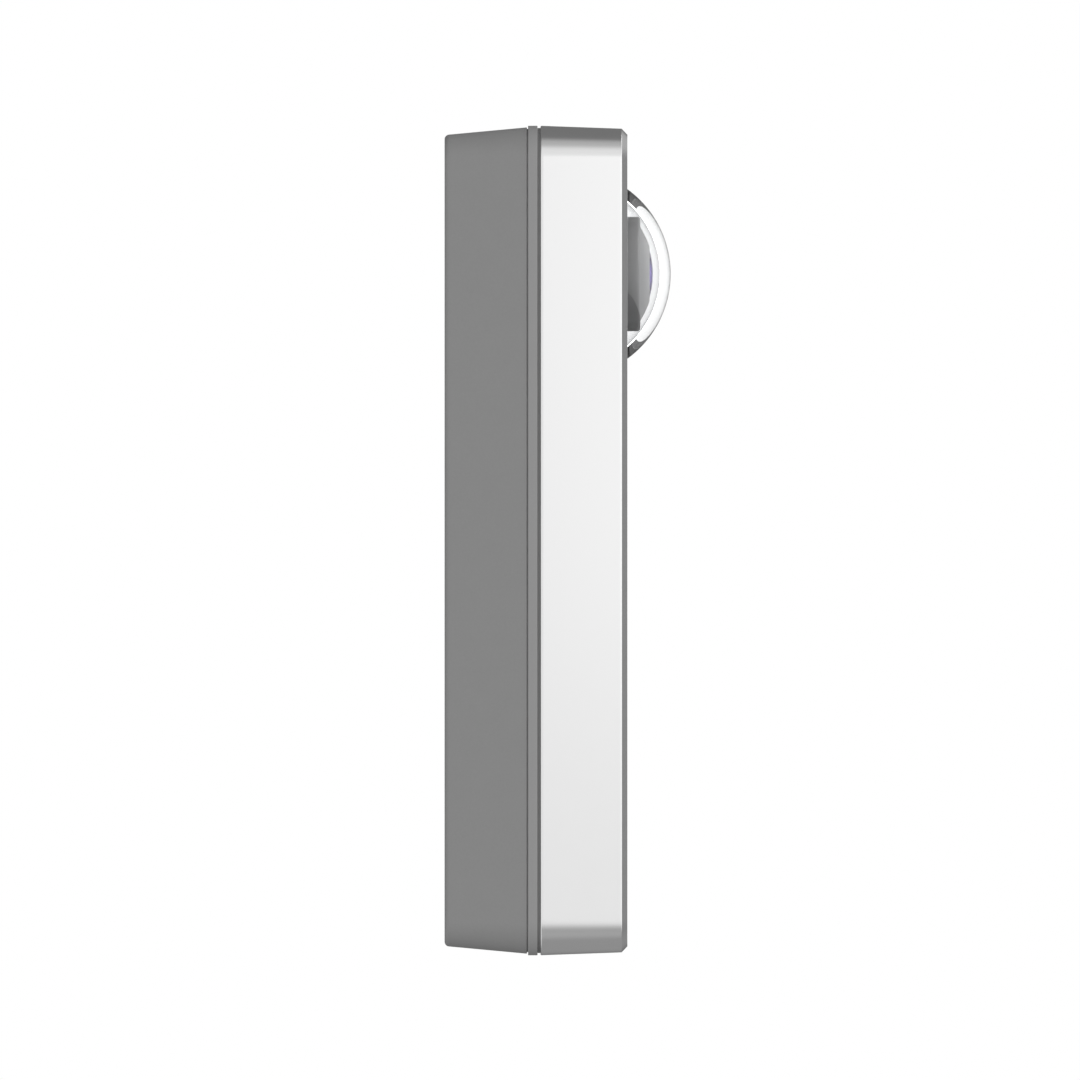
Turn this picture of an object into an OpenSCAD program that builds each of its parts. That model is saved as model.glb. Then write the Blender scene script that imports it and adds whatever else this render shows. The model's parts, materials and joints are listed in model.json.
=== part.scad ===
// Surface-mounted video doorbell with a domed wide-angle camera.
//
// Every piece is drawn as it is seen from the street: x to the right, y up and z out of the wall, with
// the wall at z = 0 and the middle of the body at x = y = 0. place() then stands it up, so that Z is up,
// the front faces -Y and the wall is the plane Y = 0. All sizes are in millimetres.

/* [Body] */
// Width of the doorbell
body_w = 75; // [75:1:95]
// Height of the doorbell
body_h = 157; // [157:1:200]
// Radius of its four upright corners
corner_r = 6.5; // [5.8:0.1:9]

/* [Wall box] */
// Depth of the wall box
box_d = 15.6; // [13:0.1:30]
// Thickness of its side walls
box_wall = 2.2; // [1.8:0.1:2.6]
// Thickness of its floor against the wall
box_floor = 2.4; // [2:0.1:3.2]
// Draft angle of its sides
box_draft = 5.3; // [2:0.1:6]
// How far its rim stands back from the flange
box_step = 0.3; // [0.2:0.05:0.6]
// Distance between the wall screws across the body
wall_hole_x = 50; // [40:1:52]
// Distance between the wall screws up the body
wall_hole_y = 120; // [100:1:122]
// Radius of the wall screw holes
wall_hole_r = 2.25; // [2:0.05:3]
// Width of the rubber seal behind the wall box
seal_w = 2.0; // [1.5:0.1:3]
// Depth of the groove that the seal fills
seal_t = 1.2; // [0.8:0.1:1.4]
// Radius of the cable that the grommet takes
cable_r = 4.0; // [3:0.1:5]
// Height of the cable entry above the middle
entry_y = 12; // [0:1:30]
// Thickness of the rubber round the cable
grommet_wall = 4.0; // [3:0.1:6]
// How far the grommet's lips reach over the floor
grommet_lip = 1.7; // [1:0.1:3]
// Thickness of each of those lips
grommet_lip_t = 1.1; // [0.8:0.1:1.4]

/* [Back cover] */
// Thickness of the back cover and its visible flange
flange_t = 2.0; // [1.8:0.1:3]
// Height of the shadow line behind the flange
seam_h = 0.2; // [0.1:0.05:0.4]
// Depth of that shadow line
seam_d = 0.8; // [0.5:0.1:1.2]
// Thickness of the gasket between cover and shell
gasket_t = 0.55; // [0.4:0.05:1]
// How far the gasket stands back from the flange
gasket_inset = 0.42; // [0.3:0.02:0.8]
// Width of that gasket
gasket_w = 1.9; // [1.5:0.1:2.2]

/* [Front shell] */
// Depth of the front shell
shell_d = 16.45; // [16.45:0.05:24]
// Thickness of its side walls
shell_wall = 2.0; // [1.6:0.1:2.4]
// Thickness of its face
face_t = 2.2; // [2:0.1:2.6]
// Draft angle of its sides
shell_draft = 2.05; // [1:0.05:3]
// Depth of the chamfer round the face
chamfer_d = 1.08; // [0.6:0.02:1.6]
// Height of the chamfer round the face
chamfer_h = 1.15; // [0.6:0.05:1.6]

/* [Camera] */
// Outer radius of the clear dome
dome_r = 19.85; // [18:0.05:24]
// How far the dome stands out of the face
dome_rise = 8.18; // [7:0.01:9]
// Wall of the clear dome
dome_wall = 2.0; // [1.5:0.1:2.4]
// Width of the dark infrared window round the dome
window_band = 7.54; // [7:0.02:9]
// Distance from that window to the top of the body
window_margin = 4.45; // [4.2:0.05:10]
// Number of infrared diodes
ir_count = 12; // [6:1:16]
// Radius of the grey trim round the lens
trim_r = 10.83; // [10:0.01:12.5]
// Gap between the trim and the dome
trim_gap = 1.17; // [0.8:0.01:2]
// How far the trim's straight side stands out of the face
trim_rise = 2.37; // [1.5:0.01:3]
// Radius of the lens barrel
barrel_r = 6.0; // [5:0.1:6.5]
// Radius of the front lens
front_lens_r = 4.8; // [4:0.1:5]
// Travel of the infrared filter between day and night
filter_travel = 6.36; // [6.2:0.01:6.5]
// Side of the square camera board
cam_board = 37; // [36:0.5:40]

/* [Motion and light sensors] */
// Gap between the camera's retainer and the motion sensor's holder
pir_gap = 1.0; // [0.6:0.1:4]
// Radius of the motion sensor's lens
pir_r = 6.5; // [5:0.1:8]
// Distance of the light pipe from the motion sensor
pipe_x = 17; // [12:0.5:20]
// Radius of the light pipe
pipe_r = 1.2; // [0.8:0.1:2]

/* [Call button] */
// Radius of the button's cap
button_r = 11.3; // [9:0.1:13]
// Travel of the button
button_travel = 0.65; // [0.3:0.05:0.7]
// Width of the ring of light round the cap
light_w = 1.5; // [1.2:0.1:2.5]
// Width of the metal bezel round that ring
bezel_w = 1.7; // [1.2:0.1:3]
// How far the cap lies below the face
button_recess = 0.3; // [0.1:0.05:0.6]
// Number of diodes under the ring of light
led_count = 8; // [4:1:12]

/* [Sound] */
// Gap between the speaker and the microphone's boot
speaker_gap = 1.5; // [1:0.1:2]
// Radius of the speaker
speaker_r = 15; // [14:0.1:18]
// Travel of the cone each way
cone_travel = 0.4; // [0.2:0.05:0.5]
// Radius of each hole in the grille
grille_r = 0.9; // [0.5:0.05:1.2]
// Distance between holes in the grille
grille_pitch = 3.4; // [3:0.1:4]
// Height of the microphone above the bottom
mic_rise = 8.5; // [8:0.1:9]
// Radius of the microphone's hole
mic_r = 0.75; // [0.5:0.05:1]

/* [Boards and screws] */
// Width of the main board
board_w = 53; // [45:0.5:53]
// Thickness of the boards
board_t = 1.6; // [1:0.1:1.8]
// Gap between the back cover and the main board
board_gap = 2.0; // [1.5:0.1:2.5]
// Radius of the small screws
screw_r = 1.05; // [0.9:0.05:1.2]
// Length of the small screws under the head
screw_len = 4.4; // [4:0.1:4.5]
// Radius of the screws that hold the unit together
unit_screw_r = 1.45; // [1.3:0.05:1.6]
// Length of those screws under the head
unit_screw_len = 10; // [8:0.5:12]
// Distance of those screws from the side of the body
unit_screw_in = 7; // [6.8:0.1:8]

/* [Clearances] */
// Gap round a fixed piece in its seat
fit = 0.05; // [0.02:0.01:0.1]
// Radial gap round a stem that slides in a guide
run = 0.08; // [0.04:0.01:0.1]
// Gap between a moving piece and what it passes
free = 0.35; // [0.3:0.05:0.5]

/* [Hidden] */
$fn = 96;

// Half the width and half the height of the body
half_w = body_w / 2;
half_h = body_h / 2;
// Cuts run this far past the surface that they open
past = 1;

// Levels from the wall outwards
cover_back = box_d;
cover_front = box_d + flange_t;
shell_back = cover_front + gasket_t;
face = shell_back + shell_d;
face_in = face - face_t;
board_back = cover_front + board_gap;
board_front = board_back + board_t;

// How far each wall stands inside the body's outline, where the wall box meets the wall and at the face
box_inset = box_step + box_d * tan(box_draft);
shell_inset = (shell_d - chamfer_d) * tan(shell_draft);

// Screws: heads and the gap round their shanks
head_r = 1.9;
head_h = 1.4;
unit_head_r = 2.6;
unit_head_h = 1.8;
drive_w = 0.5;
drive_d = 0.7;
tip_gap = 0.3;
boss_r = 2.4;
unit_boss_r = 3.2;
unit_boss_x = half_w - unit_screw_in;
unit_boss_in_y = 9.5;
rib_t = 1.6;
post_r = 2.6;

// Camera: axis, the dome's centre and the levels behind the face
dome_z = face + dome_rise - dome_r;
dome_mouth = sqrt(dome_r * dome_r - pow(face - dome_z, 2));
window_r = dome_mouth + window_band;
cam_y = half_h - window_margin - window_r;
lip_t = 1.0;
lip_w = 1.4;
window_gap = 0.2;
dome_seal_t = 0.8;
dome_seal_w = 1.5;
dome_lip_t = 1.2;
dome_lip_front = face_in - lip_t - dome_seal_t;
dome_lip_back = dome_lip_front - dome_lip_t;
dome_lip_r = dome_radius(dome_lip_front) + 1.9;
led_w = 2.0;
led_h = 1.2;
led_gap = 0.3;
ir_circle = dome_lip_r + led_w;
ir_board_t = 1.0;
ir_board_front = face_in - lip_t - led_gap - led_h;
ir_board_back = ir_board_front - ir_board_t;
window_lip_r = window_r + lip_w;
retainer_front = ir_board_back - window_gap;
retainer_t = 1.5;
retainer_back = retainer_front - retainer_t;
retainer_in_r = dome_lip_r - 3.4;
retainer_r = window_lip_r + 0.5;
retainer_boss = (window_lip_r + boss_r + 0.9) / sqrt(2);
cam_post = 14.5;
cam_post_r = 2.2;
cam_post_h = 3.6;
cam_board_t = 1.2;
cam_board_front = retainer_back - cam_post_h;
cam_board_back = cam_board_front - cam_board_t;

// Lens, holder and the filter that slides behind it
slide_t = 0.8;
slide_back = cam_board_front + 1.7;
slide_front = slide_back + slide_t;
holder_plate_back = slide_front + 0.5;
holder_plate_front = holder_plate_back + 1.4;
holder_plate_r = 11;
holder_tube_h = 3.5;
holder_tube_wall = 1.55;
holder_tube_r = barrel_r + fit + holder_tube_wall;
holder_half_x = 12.3;
holder_half_y = 6;
holder_wall = 1.4;
cap_r = dome_r - dome_wall - trim_gap;
trim_top = face + trim_rise;
lens_recess = 0.15;
skirt_t = 1.2;
neck_r = front_lens_r + 0.3;
neck_z = trim_top + 0.5;
barrel_back = holder_plate_back + 0.6;
neck_top = dome_z + sqrt(pow(cap_r - lens_recess, 2) - pow(neck_r, 2)) - 0.25;
front_lens_back = neck_z - 1.5;
inner_lens_r = 3.6;
inner_lens_t = 1.6;
window_side = 5.2;
slide_side = 7.2;
slide_end = 3.6;
tab_half = 1.6;
tab_low = 7.2;
pin_r = 0.5;
slot_gap = 0.25;
rotor_y = -9.0;
rotor_r = 2.4;
rotor_h = 1.1;
rotor_swing = 45;
rotor_arm = filter_travel / 2 / sin(rotor_swing);
rotor_back = cam_board_front + 0.3;
arm_w = 1.2;
ribbon_x = 10;
ribbon_w = 8;

// Sensors in the face
pir_wall = 0.9;
pir_lip_r = pir_r + lip_w;
pir_y = cam_y - retainer_r - pir_gap - pir_lip_r;

// Call button: the cap, the ring of light and the bezel round it, and the board behind them
light_in_r = button_r + free;
light_out_r = light_in_r + light_w;
bezel_in_r = light_out_r + fit;
bezel_out_r = bezel_in_r + bezel_w;
bezel_lip_r = bezel_out_r + 1.7;
bezel_lip_t = 1.2;
light_recess = 0.15;
cap_t = 2.7;
cap_back = face - button_recess - cap_t;
boot_t = 0.6;
boot_gap = 0.1;
boot_in_r = 3.3;
button_board_y = 2 * (light_out_r + 1);
button_post_x = bezel_lip_r + 2.4;
button_post_y = 8;
stem_r = 1.75;
stem_front = cap_back - 1.1;
stem_gap = 0.05;
switch_side = 6;
switch_h = 3.1;
switch_front = stem_front - 1.2;
button_board_front = switch_front - switch_h;
button_board_back = button_board_front - cam_board_t;
ring_led_h = 0.8;

// Speaker and microphone
mic_y = -half_h + mic_rise;
mic_h = 1.1;
mic_boot_r = 2.4;
mic_collar_r = 3.0;
mic_collar_t = 1.5;
speaker_y = mic_y + mic_collar_r + speaker_gap + speaker_r;
// The button is midway between the motion sensor and the speaker
button_y = (pir_y - pir_lip_r + speaker_y + speaker_r) / 2;
foam_t = 1.0;
foam_w = 1.7;
mesh_t = 0.3;
rim_t = 1.0;
rim_front = face_in - foam_t;
basket_in_r = speaker_r - foam_w;
basket_r = speaker_r - 0.6;
basket_back = rim_front - 5;
basket_floor = 1.2;
magnet_r = 5.8;
pole_r = 6.2;
coil_t = 0.4;
coil_in_r = pole_r + free;
yoke_in_r = coil_in_r + coil_t + free;
yoke_r = yoke_in_r + 1.0;
yoke_back = basket_back - 2.2;
yoke_floor = 1.2;
magnet_t = 2.6;
pole_t = 0.8;
coil_front = rim_front - 1.8;
coil_len = 3.2;
cone_t = 0.3;
cone_r = basket_in_r - 2.3;
cone_rise = 1.0;
surround_t = 0.25;
ear_x = speaker_r + 2.8;
ear_r = 2.6;
ear_t = 1.2;
ear_back = basket_back + basket_floor;

// Main board and what stands on it
board_low = -half_h + 5.5;
board_high = cam_y - 24.5;
board_post_x = board_w / 2 - 3.5;
board_post_in = 4;
terminal_y = -30;
terminal_w = 28.4;
terminal_side = 8;
terminal_h = 10;
poles = 8;
jack_x = 14;
jack_w = 16;
jack_l = 21;
jack_h = 13;
jack_low = -half_h + 12.5;
connector_gap = 0.4;
parts_drop = 7.5;

// Wall box: grommet, security screw and the hooks at the top
entry_r = cable_r + grommet_wall;
lip_r = entry_r + grommet_lip;
lock_z = 9;
lock_seat = half_h - 3.4;
lock_pad = 1.9;
lock_head_r = 2.6;
lock_head_h = 1.8;
lock_r = 1.45;
lock_len = 8;
hook_x = 18;
hook_w = 7;
catch_w = 9;
catch_y = half_h - 5.6;
hook_t = 2.2;
hook_z = 7.3;

function dome_radius(z) = sqrt(dome_r * dome_r - pow(z - dome_z, 2));

module place() { rotate([90, 0, 0]) children(); }
module at_camera() { translate([0, cam_y, 0]) children(); }
module at_pir() { translate([0, pir_y, 0]) children(); }
module at_button() { translate([0, button_y, 0]) children(); }
module at_speaker() { translate([0, speaker_y, 0]) children(); }

// The children at the four corners of a rectangle
module four(x, y) {
    for (sx = [-1, 1], sy = [-1, 1]) translate([sx * x, sy * y, 0]) children();
}

// A disc, a ring and a block between two levels
module disc(r, z0, z1) { translate([0, 0, z0]) cylinder(h = z1 - z0, r = r); }
module ring(r_out, r_in, z0, z1) {
    difference() {
        disc(r_out, z0, z1);
        disc(r_in, z0 - past, z1 + past);
    }
}
module block(x, y, z0, z1) { translate([-x / 2, -y / 2, z0]) cube([x, y, z1 - z0]); }

// A rectangle with round corners
module outline(w, h, r) {
    square([w - 2 * r, h], center = true);
    square([w, h - 2 * r], center = true);
    four(w / 2 - r, h / 2 - r) circle(r = r);
}
// The body's outline, drawn in by an inset, between two levels
module plate(inset, z0, z1) {
    translate([0, 0, z0]) linear_extrude(z1 - z0)
        outline(body_w - 2 * inset, body_h - 2 * inset, corner_r - inset);
}
// The body's outline with its sides sloping through a list of [level, inset]
module drafted(levels) {
    hull() four(half_w - corner_r, half_h - corner_r)
        for (i = [0 : len(levels) - 2]) translate([0, 0, levels[i][0]])
            cylinder(h = levels[i + 1][0] - levels[i][0], r1 = corner_r - levels[i][1],
                r2 = corner_r - levels[i + 1][1], $fn = 32);
}

// A pan-head screw with a cross recess: its seat is at z = 0 and its shank points along +z
module screw(r, len, hr, hh) {
    difference() {
        union() {
            translate([0, 0, -hh]) cylinder(h = hh, r = hr);
            cylinder(h = len, r = r);
        }
        for (turn = [0, 90]) rotate(turn)
            translate([-hr * 0.65, -drive_w / 2, -hh - past]) cube([hr * 1.3, drive_w, drive_d + past]);
    }
}
module small_screw() { screw(screw_r, screw_len, head_r, head_h); }

// ---- Wall box ----

module rear_housing() {
    color("gray") place() difference() {
        union() {
            difference() {
                drafted([[0, box_inset], [box_d, box_step]]);
                drafted([[box_floor, box_inset + box_wall], [box_d + past, box_step + box_wall]]);
            }
            // Pad that the security screw's head pulls against
            translate([-5, -lock_seat - 0.6, lock_z - 3.5]) cube([10, lock_pad + 0.6, 7]);
            // Catches that the back cover's hooks slide behind
            for (side = [-1, 1]) translate([side * hook_x - catch_w / 2, catch_y, lock_z + 0.8])
                cube([catch_w, 3.1, 1.8]);
        }
        four(wall_hole_x / 2, wall_hole_y / 2) disc(wall_hole_r, -past, box_floor + past);
        translate([0, entry_y, 0]) {
            disc(entry_r, -past, box_floor + past);
            disc(lip_r + fit, -past, grommet_lip_t);
        }
        translate([0, 0, -past]) linear_extrude(seal_t + past) seal_outline(fit);
        // Hole and countersunk seat of the security screw
        translate([0, -lock_seat, lock_z]) rotate([-90, 0, 0]) {
            translate([0, 0, -6]) cylinder(h = 6, r = lock_head_r + 0.4);
            cylinder(h = lock_pad + past, r = lock_r + 0.2);
        }
    }
}
module seal_outline(gap) {
    inset = box_inset + 2;
    difference() {
        outline(body_w - 2 * (inset - gap), body_h - 2 * (inset - gap), corner_r - box_inset);
        outline(body_w - 2 * (inset + seal_w + gap), body_h - 2 * (inset + seal_w + gap),
            corner_r - box_inset - 2);
    }
}
module wall_seal() {
    color("dimgray") place() linear_extrude(seal_t - fit) seal_outline(0);
}
module cable_grommet() {
    color("darkslategray") place() translate([0, entry_y, 0]) difference() {
        union() {
            disc(lip_r, 0.2, grommet_lip_t);
            disc(entry_r - fit, 0.2, box_floor + grommet_lip_t);
            disc(lip_r, box_floor, box_floor + grommet_lip_t);
        }
        disc(cable_r, -past, box_floor + grommet_lip_t + past);
    }
}
module security_screw() {
    color("silver") place() translate([0, -lock_seat, lock_z]) rotate([-90, 0, 0])
        screw(lock_r, lock_len, lock_head_r, lock_head_h);
}

// ---- Back cover and front shell ----

// The screws that hold the cover to the shell
module at_unit_screws() {
    for (side = [-1, 1], up = [-1, 0, 1]) translate([side * unit_boss_x, up * (half_h - unit_boss_in_y), 0])
        children();
}
module at_board_posts() {
    for (side = [-1, 1], y = [board_low + board_post_in, board_high - board_post_in])
        translate([side * board_post_x, y, 0]) children();
}
module back_cover() {
    color("darkgray") place() difference() {
        union() {
            plate(0, cover_back + seam_h, cover_front);
            plate(seam_d, cover_back, cover_back + seam_h + 0.1);
            at_board_posts() disc(post_r, cover_front - 0.2, board_back);
            // Hooks that hang on the wall box
            for (side = [-1, 1]) translate([side * hook_x - hook_w / 2, 0, 0]) {
                translate([0, catch_y - 2.5, hook_z]) cube([hook_w, hook_t, cover_back - hook_z + 0.4]);
                translate([0, catch_y - 0.5, hook_z]) cube([hook_w, 2.4, 2.2]);
            }
            // Boss that the security screw bites into
            translate([-4.5, -lock_seat + lock_pad + 0.2, lock_z - 3.5])
                cube([9, 7, cover_back - lock_z + 3.9]);
        }
        at_unit_screws() disc(unit_screw_r + 0.15, cover_back - past, cover_front + past);
        at_board_posts() disc(screw_r + fit, board_front - screw_len - tip_gap, board_back + past);
        translate([0, terminal_y, 0])
            block(terminal_w + 2 * connector_gap, terminal_side + 2 * connector_gap,
                cover_back - past, cover_front + past);
        translate([jack_x, jack_low + jack_l / 2, 0])
            block(jack_w + 2 * connector_gap, jack_l + 2 * connector_gap, cover_back - past, cover_front + past);
        translate([0, -lock_seat, lock_z]) rotate([-90, 0, 0])
            cylinder(h = lock_len + tip_gap, r = lock_r + fit);
    }
}
module perimeter_gasket() {
    color("dimgray") place() difference() {
        plate(gasket_inset, cover_front, shell_back);
        plate(gasket_inset + gasket_w, cover_front - past, shell_back + past);
    }
}
module at_retainer_screws() { at_camera() four(retainer_boss, retainer_boss) children(); }
module at_button_posts() { at_button() four(button_post_x, button_post_y) children(); }
module at_speaker_ears() {
    at_speaker() for (side = [-1, 1]) translate([side * ear_x, 0, 0]) children();
}
// Rings of a hexagonal pattern: each ring has six times its number of holes
module at_grille() {
    at_speaker() {
        children();
        for (n = [1 : 3], side = [0 : 5], step = [0 : n - 1]) rotate(60 * side)
            translate([n * grille_pitch - step * grille_pitch / 2, step * grille_pitch * sin(60), 0]) children();
    }
}
module front_shell() {
    inner = shell_wall;
    color("gainsboro") place() difference() {
        union() {
            difference() {
                drafted([[shell_back, 0], [face - chamfer_d, shell_inset], [face, shell_inset + chamfer_h]]);
                drafted([[shell_back - past, inner], [face_in, shell_inset + inner]]);
            }
            at_unit_screws() disc(unit_boss_r, cover_front, face_in + 0.4);
            for (side = [-1, 1], up = [-1, 0, 1])
                translate([side * (unit_boss_x + 3.4), up * (half_h - unit_boss_in_y), 0])
                    block(4, rib_t, shell_back + past, face_in + 0.4);
            at_retainer_screws() disc(boss_r, retainer_front, face_in + 0.4);
            at_button_posts() disc(boss_r, button_board_front, face_in + 0.4);
            at_speaker_ears() disc(boss_r, ear_back + ear_t, face_in + 0.4);
        }
        at_unit_screws() disc(unit_screw_r + fit, cover_front - past, cover_back + unit_screw_len + tip_gap);
        at_retainer_screws() disc(screw_r + fit, retainer_front - past, retainer_back + screw_len + tip_gap);
        at_button_posts()
            disc(screw_r + fit, button_board_front - past, button_board_back + screw_len + tip_gap);
        at_speaker_ears() disc(screw_r + fit, ear_back - past, ear_back + screw_len + tip_gap);
        at_camera() disc(window_r + fit, face_in - past, face + past);
        at_pir() disc(pir_r + fit, face_in - past, face + past);
        at_pir() translate([pipe_x, 0, 0]) disc(pipe_r + fit, face_in - past, face + past);
        at_button() disc(bezel_out_r + fit, face_in - past, face + past);
        at_grille() disc(grille_r, face_in - past, face + past);
        translate([0, mic_y, 0]) disc(mic_r, face_in - past, face + past);
    }
}
module unit_screws() {
    color("silver") place() at_unit_screws() translate([0, 0, cover_back])
        screw(unit_screw_r, unit_screw_len, unit_head_r, unit_head_h);
}
module small_screws() {
    color("silver") place() {
        at_retainer_screws() translate([0, 0, retainer_back]) small_screw();
        at_camera() four(cam_post, cam_post) translate([0, 0, cam_board_back]) small_screw();
        at_button_posts() translate([0, 0, button_board_back]) small_screw();
        at_speaker_ears() translate([0, 0, ear_back]) small_screw();
        at_board_posts() translate([0, 0, board_front]) mirror([0, 0, 1]) small_screw();
    }
}

// ---- Camera ----

module dome() {
    color("aliceblue") place() at_camera() difference() {
        union() {
            intersection() {
                translate([0, 0, dome_z]) sphere(r = dome_r);
                disc(dome_r + past, dome_lip_back, face + dome_rise + past);
            }
            disc(dome_lip_r, dome_lip_back, dome_lip_front);
        }
        translate([0, 0, dome_z]) sphere(r = dome_r - dome_wall);
    }
}
module dome_gasket() {
    inner = dome_radius(dome_lip_front) + 0.2;
    color("black") place() at_camera() ring(inner + dome_seal_w, inner, dome_lip_front, face_in - lip_t);
}
module ir_window() {
    back = face_in - lip_t;
    color("#202024") place() at_camera() difference() {
        union() {
            disc(window_r, back, face);
            disc(window_lip_r, back, face_in);
        }
        translate([0, 0, back]) cylinder(h = face - back, r1 = dome_radius(back) + window_gap,
            r2 = dome_mouth + window_gap);
        // Clear of the edges of that cone
        disc(dome_radius(back) + window_gap, back - past, back);
        disc(dome_mouth + window_gap, face, face + past);
    }
}
module ir_board() {
    color("darkgreen") place() at_camera() ring(window_lip_r, dome_lip_r + 0.3, ir_board_back, ir_board_front);
}
module ir_leds() {
    color("ivory") place() at_camera() for (i = [0 : ir_count - 1]) rotate(360 * i / ir_count)
        translate([ir_circle, 0, 0]) block(led_w, led_w, ir_board_front, ir_board_front + led_h);
}
module dome_retainer() {
    color("#2b2b2e") place() at_camera() difference() {
        union() {
            disc(retainer_r, retainer_back, retainer_front);
            disc(dome_lip_r, retainer_back, dome_lip_back);
            for (turn = [45 : 90 : 315]) rotate(turn) translate([retainer_boss * sqrt(2) / 2, 0, 0])
                block(retainer_boss * sqrt(2), 5.6, retainer_back, retainer_front);
            four(retainer_boss, retainer_boss) disc(2.8, retainer_back, retainer_front);
            four(cam_post, cam_post) disc(cam_post_r, cam_board_front, retainer_back + 0.2);
        }
        disc(retainer_in_r, retainer_back - past, dome_lip_back + past);
        four(retainer_boss, retainer_boss) disc(screw_r + fit, retainer_back - past, retainer_front + past);
        four(cam_post, cam_post)
            disc(screw_r + fit, cam_board_front - past, cam_board_back + screw_len + tip_gap);
    }
}
module camera_trim() {
    color("darkgray") place() at_camera() difference() {
        union() {
            disc(trim_r, holder_plate_front, trim_top);
            // Skirt that closes the space between the lens and the dome
            disc(retainer_in_r - 0.4, holder_plate_front, holder_plate_front + skirt_t);
            intersection() {
                translate([0, 0, dome_z]) sphere(r = cap_r);
                disc(trim_r, trim_top - 0.5, dome_z + cap_r + past);
            }
        }
        disc(holder_tube_r + fit, holder_plate_front - past, holder_plate_front + holder_tube_h + 0.1);
        disc(barrel_r + 0.1, holder_plate_front, neck_z);
        disc(neck_r + 0.1, neck_z - past, dome_z + cap_r + past);
    }
}
module lens_barrel() {
    color("#1c1c1e") place() at_camera() difference() {
        union() {
            disc(barrel_r, barrel_back, neck_z - fit);
            disc(neck_r, neck_z - past, neck_top);
        }
        disc(inner_lens_r + fit, barrel_back - past, neck_top + past);
        disc(front_lens_r + fit, front_lens_back, neck_top + past);
    }
}
module front_lens() {
    color("midnightblue") place() at_camera() difference() {
        intersection() {
            disc(front_lens_r, front_lens_back, dome_z + cap_r);
            translate([0, 0, dome_z]) sphere(r = cap_r - lens_recess);
        }
        translate([0, 0, front_lens_back - 5.4]) sphere(r = 6);
    }
}
module inner_lenses() {
    color("lightcyan") place() at_camera() for (z = [barrel_back + 1, barrel_back + 4.6])
        disc(inner_lens_r, z, z + inner_lens_t);
}
module lens_holder() {
    color("#26262a") place() at_camera() difference() {
        union() {
            disc(holder_plate_r, holder_plate_back, holder_plate_front);
            block(2 * holder_half_x, 2 * holder_half_y, holder_plate_back, holder_plate_front);
            disc(holder_tube_r, holder_plate_front - 0.2, holder_plate_front + holder_tube_h);
            for (side = [-1, 1]) translate([side * (holder_half_x - holder_wall / 2), 0, 0])
                block(holder_wall, 2 * holder_half_y, cam_board_front, holder_plate_back + 0.2);
            translate([0, holder_half_y - holder_wall / 2, 0])
                block(2 * holder_half_x, holder_wall, cam_board_front, holder_plate_back + 0.2);
        }
        disc(barrel_r + fit, holder_plate_back - past, holder_plate_front + holder_tube_h + past);
    }
}
// The two windows of the slide: the one over the sensor and the one beside it
module filter_slide() {
    mid = -filter_travel / 2;
    color("#303034") place() at_camera() difference() {
        union() {
            translate([mid, 0, 0]) block(filter_travel + 2 * slide_end, slide_side, slide_back, slide_front);
            translate([mid, -tab_low / 2, 0]) block(2 * tab_half, tab_low, slide_back, slide_front);
        }
        for (x = [0, -filter_travel]) translate([x, 0, 0])
            block(window_side, window_side, slide_back - past, slide_front + past);
        // Slot that the rotor's pin drives
        slot_mid = rotor_y + rotor_arm * (1 + cos(rotor_swing)) / 2;
        translate([mid, slot_mid, 0])
            block(2 * (pin_r + slot_gap), rotor_arm * (1 - cos(rotor_swing)) + 2 * (pin_r + slot_gap),
                slide_back - past, slide_front + past);
    }
}
module filter_pane(x) {
    side = window_side - 2 * fit;
    translate([x, 0, 0]) block(side, side, slide_back + 0.1, slide_front - 0.1);
}
module ir_cut_glass() { color("paleturquoise") place() at_camera() filter_pane(0); }
module clear_glass() { color("white") place() at_camera() filter_pane(-filter_travel); }
module filter_rotor() {
    color("dimgray") place() at_camera() translate([0, rotor_y, 0]) {
        disc(rotor_r, rotor_back, rotor_back + rotor_h);
        rotate(90 + rotor_swing) {
            translate([rotor_arm / 2, 0, 0]) block(rotor_arm, arm_w, rotor_back + 0.2, rotor_back + rotor_h);
            translate([rotor_arm, 0, 0]) disc(arm_w / 2, rotor_back + 0.2, rotor_back + rotor_h);
            translate([rotor_arm, 0, 0]) disc(pin_r, rotor_back + 0.5, slide_front + 0.2);
        }
    }
}
module filter_coil() {
    color("peru") place() at_camera() translate([0, rotor_y - rotor_r - 2.5, 0])
        block(10, 4, cam_board_front, holder_plate_back + 0.9);
}
module image_sensor() {
    color("#3a3a48") place() at_camera() block(8, 7, cam_board_front, cam_board_front + 1.3);
}
module camera_board() {
    color("darkgreen") place() at_camera() difference() {
        block(cam_board, cam_board, cam_board_back, cam_board_front);
        four(cam_post, cam_post) disc(screw_r + 0.15, cam_board_back - past, cam_board_front + past);
    }
}
module camera_ribbon() {
    top = cam_y - cam_post - head_r - 0.3;
    low = board_high - 7;
    bend = 3;
    t = 0.3;
    rise = cam_board_back - t;
    drop = board_front;
    color("orange") place() translate([-ribbon_x - ribbon_w, 0, 0]) rotate([90, 0, 90]) linear_extrude(ribbon_w)
        polygon([[top, rise], [top, rise + t], [board_high + bend, rise + t], [board_high, drop + t],
            [low, drop + t], [low, drop], [board_high, drop], [board_high + bend, rise]]);
}

// ---- Motion and light sensors ----

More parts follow.
